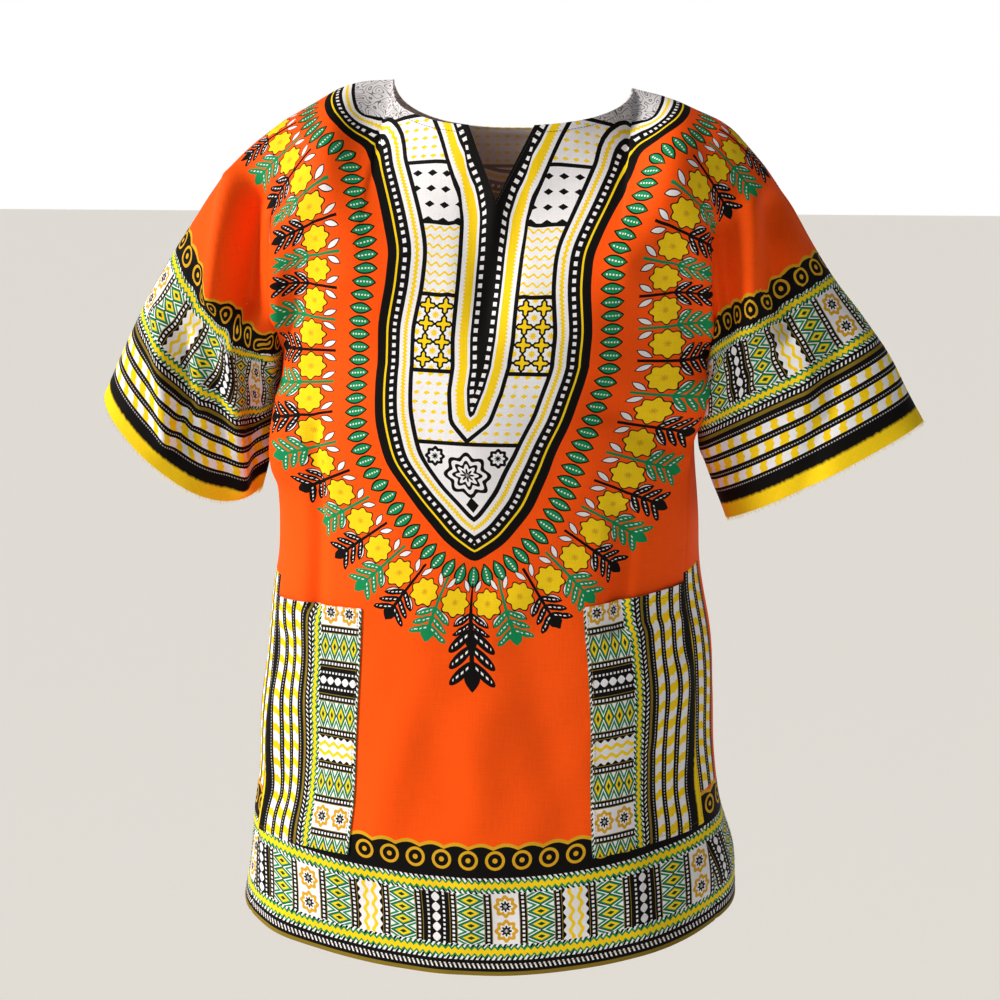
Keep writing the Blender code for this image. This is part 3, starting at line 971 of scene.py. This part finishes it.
def draw_ground(tree):
    """The orange ground, a row of leaves, and a garland of blossoms and sprigs round the yoke."""
    along, out = printed_places(tree, "leaves")
    side = repeated(along, LEAF_PITCH)
    leaf = motif(side, out, (0, 0), (5.6, 11.8), form="lens")
    colour = dyed(ink("orange"), leaf, (1.0, "black"), (0.74, "green"))
    vein = both(within(side, -0.8, 0.8), dashes(out, 3.0, 1.6))
    colour = over(colour, both(vein, below(leaf, 0.5)), "white")
    along, out = printed_places(tree, "garland")
    from_stem = add(MATH, along, SPRIG_PITCH / 2, operation="PINGPONG")
    blossom = motif(from_stem, out, (SPRIG_PITCH / 2, -1), (11.6, 12.8), form="petals")
    colour = dyed(colour, blossom, (1.1, "black"), (1.0, "yellow"), (0.17, "gold"))
    for centre, turn in (((6.6, -18.5), 0.5), ((9.6, 16.6), -0.55)):
        drop = motif(from_stem, out, centre, (3.2, 7.4), turn, form="lens")
        colour = dyed(colour, drop, (1.0, "black"), (0.72, "white"))
    turns = add(MATH, along, SPRIG_PITCH / 2, operation="ADD")
    turns = add(MATH, turns, 2 * SPRIG_PITCH, 0, operation="WRAP")
    dye = dyed(ink("green"), turns, (SPRIG_PITCH, "black"))
    colour = sprig(colour, from_stem, out, -24, 32, dye)
    across = add(MATH, printed_places(tree, "cloth")[0], PENDANT_SIZE, operation="DIVIDE")
    fallen = add(MATH, out, PENDANT_SIZE, operation="DIVIDE")
    return sprig(colour, across, fallen, 10, 38, "black")


# The yoke's panels lie between these heights on the flat cloth. Each of their repeats has a pitch
# and a centre across and up, a motif's size, and its form. The bands are counted out from the
# yoke's edge and from the placket's, each from its start.
CROSS_LINES = (786, 728, 660, 588, 520)
CROSS_LINE_HALF = 1.9
SCRAWL_FROM = 834
YOKE_REPEATS = [
    ((10, 46), (9, 0), (3.4, 2.1), "lozenge"),
    ((15, 50), (15, 760), (5.0, 3.2), "lozenge"),
    ((17, 47), (17, 624), (6.6, 6.6), "petals"),
]
YOKE_BANDS = [
    (-37, "black"), (-33, "white"), (-22, "black"), (-10.4, "yellow"), (-8.4, "black"),
    (0, "orange"),
]
YOKE_BANDS_END = 3
PLACKET_BANDS = [(-20, "black"), (0, "white"), (2.5, "yellow"), (9, "white"), (14.5, "black")]
PLACKET_BANDS_END = 24
PLACKET_REACH = 18.5


def draw_yoke(tree):
    """The yoke: a placket print, panels down both sides, a medallion, and bands all round."""
    across, up = printed_places(tree, "cloth")
    side = add(MATH, across, operation="ABSOLUTE")
    top, second, third, fourth, lowest = CROSS_LINES
    spot, star, block = (
        motif(repeated(side, *across_by), repeated(up, *up_by), (0, 0), size, form=form)
        for across_by, up_by, size, form in YOKE_REPEATS
    )
    colour = dyed(ink("white"), spot, (1.0, "yellow"))
    wave = repeated(wavy(up, side, 9, 1.6), 8.5)
    drawn = dyed(ink("white"), wave, (-1.1, 1.1, "yellow"))
    colour = dyed(colour, up, (third, second, drawn))
    drawn = dyed(ink("white"), star, (1.0, "black"))
    colour = dyed(colour, up, (second, top, drawn))
    drawn = dyed(ink("yellow"), block, (1.0, 1.3, "black"), (1.0, "white"), (0.42, "yellow"))
    colour = dyed(colour, up, (fourth, third, drawn), (lowest, "white"))
    medal = motif(side, up, (0, 490), (19, 19), form="petals")
    bud = motif(side, up, (29.5, 507), (8, 8), form="petals")
    point = motif(side, up, (0, 461), (6, 7.5), form="lozenge")
    for shape, low, high in (
        (medal, 0.86, 1.06), (medal, 0.46, 0.64), (medal, 0.0, 0.24), (bud, 0.7, 1.1),
    ):
        colour = dyed(colour, shape, (low, high, "black"))
    colour = dyed(colour, bud, (0.3, "black"))
    colour = dyed(colour, point, (1.0, "black"))
    for height in CROSS_LINES:
        colour = dyed(colour, up, (height - CROSS_LINE_HALF, height + CROSS_LINE_HALF, "black"))
    cloth = add("ShaderNodeCombineXYZ", across, up)
    noise = add("ShaderNodeTexNoise", cloth, 0.1, 0.0, noise_dimensions="2D")
    drawn = dyed(ink("pale grey"), repeated(noise, 0.2), (-0.02, 0.02, "grey"))
    colour = dyed(colour, up, (SCRAWL_FROM, FAR, drawn))
    colour = dyed(colour, up, (SCRAWL_FROM - 2, SCRAWL_FROM + 2, "black"))
    along, out = printed_places(tree, "placket")
    drawn = striped(out, PLACKET_BANDS, PLACKET_BANDS_END)
    drawn = dyed(drawn, wavy(out, along, 3.6, 0.9), (8, 10.3, "yellow"))
    drawn = dotted(drawn, out, (-6.4, -2.6), along, (8.3, 4.2))
    colour = dyed(colour, out, (PLACKET_REACH, drawn))
    along, out = printed_places(tree, "yoke")
    drawn = striped(out, YOKE_BANDS, YOKE_BANDS_END)
    drawn = dyed(drawn, wavy(out, along, 3.6, 0.8), (-29.3, -25.8, "yellow"))
    drawn = dotted(drawn, out, (-18.0, -14.4), along, (7.4, 3.7))
    return dyed(drawn, out, (YOKE_BANDS[0][0], colour))


# The border's bands, counted in from the selvage. White and yellow trade places in steps.
BORDER_BANDS = [
    (0, "black"), (31.2, "white"), (40, "black"), (47.2, "yellow"), (56.8, "black"), (64, "white"),
    (72.8, "black"), (81.6, "olive"), (84.8, "black"), (204.8, "orange"),
]
TRADED = {"white": "yellow", "yellow": "white"}
BORDER_END = 216
FINE_LINES = (28, 43.6, 60.4, 76.8)
CELLS_RANGE = (104.8, 156)
CELLS_MIDDLE = 130.4
ZIGZAG_OUT = 31.6
RING_PITCH = 26
RINGS_MIDDLE = 185.6
CELL_PITCH = 34
CELL_HALF = 13
LOBE_LENGTH = 24


def draw_cells(along, depth):
    """The border's ladder of cells: lozenges, and between them rosettes, waves and beads."""
    middle = add(MATH, depth, CELLS_MIDDLE, operation="SUBTRACT")
    rung = repeated(middle, 12.6, 6.3)
    place = repeated(along, 2 * CELL_PITCH)
    lozenge = motif(place, rung, (0, 0), (13, 6.3), form="lozenge")
    colour = dyed(
        ink("white"), lozenge, (1.24, 1.56, "green"), (1.04, "black"), (0.9, "green"),
        (0.66, "yellow"), (0.3, "dark green"),
    )
    rosettes, waves, beads = (repeated(along, 6 * CELL_PITCH, k * CELL_PITCH) for k in (1, 3, 5))
    half = add(MATH, middle, operation="ABSOLUTE")
    rosette = motif(rosettes, half, (0, 12.3), (10.5, 10.5), form="petals")
    colour = dyed(colour, rosettes, (-CELL_HALF, CELL_HALF, "white"))
    colour = dyed(colour, rosette, (0.64, 1.0, "gold"), (0.1, 0.42, "black"))
    colour = dyed(colour, waves, (-CELL_HALF, CELL_HALF, "black"))
    side = add(MATH, waves, operation="ABSOLUTE")
    colour = dyed(colour, wavy(side, depth, 9, 1.3), (11.2, "white"))
    colour = dyed(colour, wavy(side, depth, 13, 1.6), (2.6, 6.2, "yellow"))
    colour = dyed(colour, beads, (-CELL_HALF, CELL_HALF, "black"))
    bead = motif(beads, repeated(middle, 10), (0, 0), (4.0, 4.8), form="lens")
    colour = dyed(colour, bead, (1.0, "white"))
    side = add(MATH, beads, operation="ABSOLUTE")
    colour = dotted(colour, side, (6.6, 8.8), depth, (4.4, 2.3))
    gap = repeated(along, CELL_PITCH, CELL_PITCH / 2)
    colour = dyed(colour, gap, (-4, 4, "olive"), (-3.2, 3.2, "black"))
    return dotted(colour, gap, (-1.3, 1.3), depth, (4.2, 2.4))


def draw_border(tree):
    """The border: selvage, stripes, zigzags on both sides of the cells, and a band of rings."""
    vector = add("ShaderNodeAttribute", tree=tree, attribute_name="border").node.outputs["Vector"]
    along, depth, from_seam = add("ShaderNodeSeparateXYZ", vector).node.outputs
    strip = both(below(from_seam, STRIP_WIDTH), within(depth, *STRIP_RANGE))
    inward = add(MATH, from_seam, STRIP_DEPTH, operation="ADD")
    along = add(MIX, strip, along, depth, data_type="FLOAT")
    depth = add(MIX, strip, depth, inward, data_type="FLOAT")
    colour = striped(depth, BORDER_BANDS, BORDER_END)
    traded_bands = [(low, TRADED.get(dye, dye)) for low, dye in BORDER_BANDS]
    traded = striped(depth, traded_bands, BORDER_END)
    stepped = add(MATH, depth, 0.36, along, operation="MULTIPLY_ADD")
    stepped = wavy(stepped, depth, 6.3, 0.8)
    colour = over(colour, dashes(stepped, 17.5, 7.6), traded)
    fine = dashes(along, 3.0, 1.7)
    for line in FINE_LINES:
        mask = both(fine, within(depth, line - 0.65, line + 0.65))
        colour = over(colour, mask, "thread grey")
    leaning = add(MATH, depth, 0.7, along, operation="MULTIPLY_ADD")
    colour = dotted(colour, depth, (86.9, 90.1), leaning, (4.6, 1.9))
    noise = add("ShaderNodeTexNoise", along, 0.22, 1.0, noise_dimensions="1D")
    ragged = add(MATH, noise, 2.0, depth, operation="MULTIPLY_ADD")
    selvage = add("ShaderNodeMapRange", ragged, 14.0, 17.0, 1.0, 0.0)
    colour = over(colour, selvage, "yellow")
    ring = motif(repeated(along, RING_PITCH), depth, (0, RINGS_MIDDLE), (9.6, 9.6))
    colour = dyed(colour, ring, (0.7, 1.0, "gold"), (0.26, "gold"))
    lobe = add(MATH, along, pi / LOBE_LENGTH, operation="MULTIPLY")
    for step in ("SINE", "ABSOLUTE"):
        lobe = add(MATH, lobe, operation=step)
    scallop = add(MATH, lobe, -3.6, depth, operation="MULTIPLY_ADD")
    colour = dyed(colour, scallop, (198.5, 400, "orange"), (195.5, 199.0, "gold"))
    colour = dyed(colour, depth, (*CELLS_RANGE, draw_cells(along, depth)))
    middle = add(MATH, depth, CELLS_MIDDLE, operation="SUBTRACT")
    half = add(MATH, middle, operation="ABSOLUTE")
    local = add(MATH, half, ZIGZAG_OUT, operation="SUBTRACT")
    slanted = add(MATH, local, 0.8, along, operation="MULTIPLY_ADD")
    drawn = over(ink("black"), dashes(slanted, 5.2, 2.7), "white")
    teeth = add(MATH, along, 3.2, operation="PINGPONG")
    zigzag = add(MATH, teeth, 0.9, local, operation="MULTIPLY_ADD")
    drawn = dyed(drawn, zigzag, (-2.9, 5.4, "green"), (-0.9, 3.7, "yellow"))
    return dyed(colour, local, (-6.4, 6.4, drawn))


REVERSE_FADE = 0.42
THREAD_STREAKS = ((0.85, 0.05, 1.0), (0.05, 0.85, 1.0))


def printed_cotton(title, draw):
    """Cotton with one part of the print. Threads are 0.3 mm, drawn as streaks of 1 to 2 mm."""
    material = bpy.data.materials.new(title)
    material.use_nodes = True
    tree = material.node_tree
    colour = draw(tree)
    vector = add("ShaderNodeAttribute", tree=tree, attribute_name="cloth").node.outputs["Vector"]
    reverse = add("ShaderNodeSeparateXYZ", vector).node.outputs[2]
    faded = add(MATH, reverse, REVERSE_FADE, operation="MULTIPLY")
    colour = over(colour, faded, "reverse")
    heights = []
    for scale in THREAD_STREAKS:
        threads = add("ShaderNodeMapping", vector, (0, 0, 0), (0, 0, 0), scale)
        heights.append(add("ShaderNodeTexNoise", threads, 1.0, 2.0, noise_dimensions="2D"))
    weave = add(MATH, *heights, operation="ADD")
    shade = add(MATH, weave, 0.12, 0.88, operation="MULTIPLY_ADD")
    colour = add(VECTOR, colour, shade, operation="SCALE")
    shader = tree.nodes["Principled BSDF"]
    tree.links.new(colour, shader.inputs["Base Color"])
    shader.inputs["Roughness"].default_value = 0.7
    shader.inputs["Specular IOR Level"].default_value = 0.14
    shader.inputs["Sheen Weight"].default_value = 0.01
    bump = add("ShaderNodeBump", 0.25, 0.0004, 0.1, weave)
    tree.links.new(bump, shader.inputs["Normal"])
    return material


PRINTED = {
    "ground": printed_cotton("wax print cotton, orange ground and garland", draw_ground),
    "yoke": printed_cotton("wax print cotton, yoke", draw_yoke),
    "border": printed_cotton("wax print cotton, border", draw_border),
}
for panel, piece in panels.items():
    for zone in ZONES:
        piece.data.materials.append(PRINTED[zone])
    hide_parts(panel)


# The patch pockets. Each is cut from the cloth's printed edge and sewn on flat, with its side in
# the side seam, its lower edge on the hem's border and its upper edge left open.
POCKET_LIFT = 0.5
POCKET_MOUTH_STAND = 2.2
POCKET_MOUTH_REACH = 22
POCKET_RIPPLE = 0.9
RIPPLE_LENGTH = 9.0
RIPPLE_LEAN = 0.012
RIPPLE_MIDDLE = 95
RIPPLE_REACH = 60
POCKET_TURNED = 7
POCKET_TURNED_LIFT = 0.35
POCKET_TURNED_WALL = 1.15
POCKET_INNER_DEPTH = 158
POCKET_SWAY = ((2.6, 23), (1.4, 11.5))
SWAY_LEAN = 50
SWAY_START = 1.3
SWAY_REACH = 15
first_row = UPPER_STEPS + BODY_STEPS[0]
pocket_rows = slice(first_row, first_row + BODY_STEPS[1] + 1)


def pocket_sheet(side):
    """A pocket over the stretch of the front that it covers, raised off it."""
    front = sheets["front", "body"]
    count = SHOULDER_STEPS + 1
    cut = (pocket_rows, slice(0, count) if side == "right" else slice(-count, None))
    points, directions = front["points"][cut], front["outward"][cut]
    across = walked_along(points, 1)
    from_inner = across[:, -1:] - across if side == "right" else across
    down = walked_along(points, 0)
    up = down[-1:] - down
    width = from_inner.max(axis=1, keepdims=True)
    middle = np.sin(pi * from_inner / width)
    mouth = np.exp(-down / POCKET_MOUTH_REACH)
    ripple = np.sin(from_inner / RIPPLE_LENGTH + RIPPLE_LEAN * up)
    ripple = ripple * np.exp(-((from_inner - RIPPLE_MIDDLE) / RIPPLE_REACH) ** 2) * POCKET_RIPPLE
    lift = POCKET_LIFT + CLOTH_WALL + POCKET_MOUTH_STAND * middle * mouth + ripple
    near_edge = np.minimum(np.minimum(from_inner, up), down)
    turned = near_edge < POCKET_TURNED
    depth = POCKET_INNER_DEPTH - from_inner * POCKET_INNER_DEPTH / (width[-1] + 2)
    (wide, long), (slight, short) = POCKET_SWAY
    sway = wide * np.sin(up / long + from_inner / SWAY_LEAN)
    sway = sway + slight * np.sin(up / short + SWAY_START)
    depth = depth + sway * from_inner / width * (1 - np.exp(-up / SWAY_REACH))
    zero = np.zeros(depth.shape)
    rise = lift + np.where(turned, POCKET_TURNED_LIFT, 0)
    return {
        "numbers": np.arange(depth.size).reshape(depth.shape),
        "points": points + directions * rise[..., None] * MM,
        "outward": directions,
        "thickness": np.where(turned, POCKET_TURNED_WALL, CLOTH_WALL) * MM,
        "faces_outward": True,
        "places": {
            "cloth": np.concatenate([flat["front", "body"][cut], zero[..., None]], -1),
            "border": np.stack([up, depth, zero], -1),
        },
    }


pocket_sheets = {side: pocket_sheet(side) for side in ("right", "left")}
pockets = {}
for side, sheet in pocket_sheets.items():
    pockets[side] = cloth_shell(
        f"{side}_pocket", [sheet], lambda sheet, quads, index: np.zeros(len(quads), int)
    )
    pockets[side].data.materials.append(PRINTED["border"])
    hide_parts(f"pocket_{side}")


# The sewing: polyester thread in short machine stitches round the pockets, along the hem and
# round the neck. Each stitch is sunk into the cloth at both ends and stands a little between.
STITCH_PITCH = 3.0
STITCH_LENGTH = 2.3
THREAD = 0.45
STITCH_RINGS = ((0.0, -0.25), (0.22, 0.12), (0.78, 0.12), (1.0, -0.25))
THREAD_CORNERS = ((-1, 0), (0, 1), (1, 0), (0, -1))
THREAD_ROUGHNESS = 0.55


def even_line(points, directions, pitch, shift=0.0):
    """A line of points and their directions, taken again at an even pitch in millimetres."""
    walked = np.concatenate([[0], np.cumsum(np.linalg.norm(np.diff(points, axis=0), axis=1))]) / MM
    at = np.arange(shift, walked[-1], pitch)
    return tuple(
        np.stack([np.interp(at, walked, values[:, axis]) for axis in range(3)], -1)
        for values in (points, directions)
    )


def stitches(points, directions):
    """The corners of a row of stitches along a line on the cloth."""
    start, out = even_line(points, directions, STITCH_PITCH)
    end, _ = even_line(points, directions, STITCH_PITCH, STITCH_LENGTH)
    count = min(len(start), len(end))
    start, end, out = start[:count], end[:count], out[:count]
    side = np.cross(end - start, out)
    side /= np.linalg.norm(side, axis=1, keepdims=True)
    corners = [
        start + (end - start) * share
        + (out * (lift + up * THREAD / 2) + side * across * THREAD / 2) * MM
        for share, lift in STITCH_RINGS
        for across, up in THREAD_CORNERS
    ]
    return np.stack(corners, 1)


def plain_material(title, colour, roughness):
    """A finish of one colour, for threads and for the studio."""
    material = bpy.data.materials.new(title)
    material.use_nodes = True
    shader = material.node_tree.nodes["Principled BSDF"]
    shader.inputs["Base Color"].default_value = (*linear(colour), 1)
    shader.inputs["Roughness"].default_value = roughness
    return material


# Polyester thread is smooth and even, and catches a little light at the crown of each stitch. The
# weft of the raw selvage is soft cotton in the border's yellow.
def thread_piece(name, rows, yarn, dye):
    """One piece from rows of threads, each a run of four-sided rings."""
    corners = np.concatenate(rows)
    rings = corners.shape[1] // 4
    faces = [(0, 1, 2, 3), tuple(range(rings * 4 - 1, rings * 4 - 5, -1))]
    for ring in range(rings - 1):
        for corner in range(4):
            a, b = ring * 4 + corner, ring * 4 + (corner + 1) % 4
            faces.append((a, a + 4, b + 4, b))
    mesh = bpy.data.meshes.new(name)
    first = np.arange(len(corners))[:, None, None] * rings * 4
    all_faces = (first + np.array(faces)).reshape(-1, 4)
    mesh.from_pydata(corners.reshape(-1, 3).tolist(), [], all_faces.tolist())
    mesh.materials.append(plain_material(f"{yarn}, {dye}", INK[dye], THREAD_ROUGHNESS))
    piece = bpy.data.objects.new(name, mesh)
    bpy.context.scene.collection.objects.link(piece)
    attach(piece, "root")
    return piece


def grid_line(sheet, rows, across):
    """A line of a sheet's points and directions, by its rows and columns."""
    return sheet["points"][rows, across], sheet["outward"][rows, across]


pocket_rows_sewn, neck_rows_sewn = [], []
for side in ("right", "left"):
    sheet = pocket_sheets[side]
    inner, outer = (-2, 1) if side == "right" else (1, -2)
    inside = slice(1, -1)
    for line in ((inside, inner), (-2, inside), (inside, outer), (2, inside)):
        pocket_rows_sewn.append(stitches(*grid_line(sheet, *line)))
for panel in PANELS:
    sheet = sheets[panel, "body"]
    neck = np.flatnonzero(np.abs(shares_across(panel)) < NECK_SHARE)
    neck_rows_sewn.append(stitches(*grid_line(sheet, 2, neck)))
hem_rows_sewn = [
    stitches(*grid_line(sheets[panel, "body"], -4, slice(1, -1))) for panel in PANELS
]
thread_piece("pocket_stitches", pocket_rows_sewn, "spun polyester thread", "olive")
thread_piece("neck_stitches", neck_rows_sewn, "spun polyester thread", "black")
thread_piece("hem_stitches", hem_rows_sewn, "spun polyester thread", "olive")


# The selvage at the sleeve hems is left raw, and its yellow weft ends stand out as a short fringe.
FRINGE_PITCH = 1.3
FRINGE_LENGTH = (1.6, 4.4)
FRINGE_ROOT = 1.5
FRINGE_SHIFT = 0.5
FRINGE_LEANS = (0.28, 0.22)
FRINGE_WIDTH = 0.5
FRINGE_TAPER = 0.32
FRINGE_RINGS = (0.0, 0.5, 1.0)
FRINGE_SEED = 11


def fringe(sheet, draw):
    """The loose thread ends along a cuff's edge."""
    edge, inside = sheet["points"][:, -1], sheet["points"][:, -2]
    start, out = even_line(edge, sheet["outward"][:, -1], FRINGE_PITCH)
    _, off = even_line(edge, edge - inside, FRINGE_PITCH)
    off /= np.linalg.norm(off, axis=1, keepdims=True)
    along = np.cross(off, out)
    each = (len(start), 1)
    start = start - out * TURNED_WALL / 2 * MM - off * FRINGE_ROOT * MM
    start += along * draw.uniform(-FRINGE_SHIFT, FRINGE_SHIFT, each) * MM
    length = draw.uniform(*FRINGE_LENGTH, each) + FRINGE_ROOT
    lean = sum(draw.normal(0, spread, each) * way for spread, way in zip(FRINGE_LEANS, (along, out)))
    corners = []
    for share in FRINGE_RINGS:
        centre = start + (off + lean * share) * length * share * MM
        width = (FRINGE_WIDTH - FRINGE_TAPER * share) / 2 * MM
        for across, up in THREAD_CORNERS:
            corners.append(centre + along * across * width + out * up * width)
    return np.stack(corners, 1)


draw = np.random.default_rng(FRINGE_SEED)
rows = [fringe(sheets[panel, side], draw) for panel in PANELS for side in ("right", "left")]
thread_piece("cuff_fringe", rows, "raw cotton weft", "yellow")


# The studio: a painted floor, matt and pale, at the height of a wearer's feet, an even white round
# about that darkens overhead, and soft light from the viewer's left, as in the photograph.
FLOOR_HEIGHT = -1.42
FLOOR_REACH = 24
CAMERA_PLACE = (0.2507, -1.9964, -0.02)
CAMERA_TURN = 7.5
CAMERA_PITCH = 11.04
SENSOR = 36.0
FOCAL_PIXELS = 2050
PICTURE_PIXELS = 1000

square = ((-1, -1), (1, -1), (1, 1), (-1, 1))
floor_corners = [(x * FLOOR_REACH, y * FLOOR_REACH, FLOOR_HEIGHT) for x, y in square]
floor_mesh = bpy.data.meshes.new("studio_floor")
floor_mesh.from_pydata(floor_corners, [], [(0, 1, 2, 3)])
floor = bpy.data.objects.new("studio_floor", floor_mesh)
floor_mesh.materials.append(plain_material("pale painted floor", "#F8F7F5", 0.9))
bpy.context.scene.collection.objects.link(floor)

FADE_HEIGHTS = (0.05, 0.28)
FADED_STRENGTH = 0.12
world = bpy.data.worlds.new("studio")
world.use_nodes = True
sky = world.node_tree.nodes["Background"]
sky.inputs["Color"].default_value = (*linear("#FFFFFF"), 1)
toward = add("ShaderNodeTexCoord", tree=world.node_tree)
height = add("ShaderNodeSeparateXYZ", toward).node.outputs[2]
strength = add("ShaderNodeMapRange", height, *FADE_HEIGHTS, 1.0, FADED_STRENGTH)
world.node_tree.links.new(strength, sky.inputs["Strength"])
bpy.context.scene.world = world

# One large soft lamp stands on the viewer's left, far enough to light the floor evenly.
LAMP_ENERGY = 3.9
LAMP_SPREAD = 14
LAMP_TOWARD = (0.772, 0.328, -0.545)
lamp = bpy.data.lights.new("key", "SUN")
lamp.energy = LAMP_ENERGY
lamp.angle = radians(LAMP_SPREAD)
lamp.color = linear("#FFFBF4")
stand = bpy.data.objects.new("key", lamp)
stand.rotation_euler = Vector(LAMP_TOWARD).to_track_quat("-Z", "Y").to_euler()
bpy.context.scene.collection.objects.link(stand)

lens = bpy.data.cameras.new("camera")
lens.sensor_width = SENSOR
lens.lens = FOCAL_PIXELS / PICTURE_PIXELS * SENSOR
camera = bpy.data.objects.new("camera", lens)
camera.location = CAMERA_PLACE
camera.rotation_euler = (radians(90 - CAMERA_PITCH), 0, radians(CAMERA_TURN))
bpy.context.scene.collection.objects.link(camera)
bpy.context.scene.camera = camera
bpy.context.scene.view_settings.view_transform = "Standard"
bpy.context.scene.view_settings.exposure = 0.0
bpy.context.scene.view_settings.gamma = 0.9
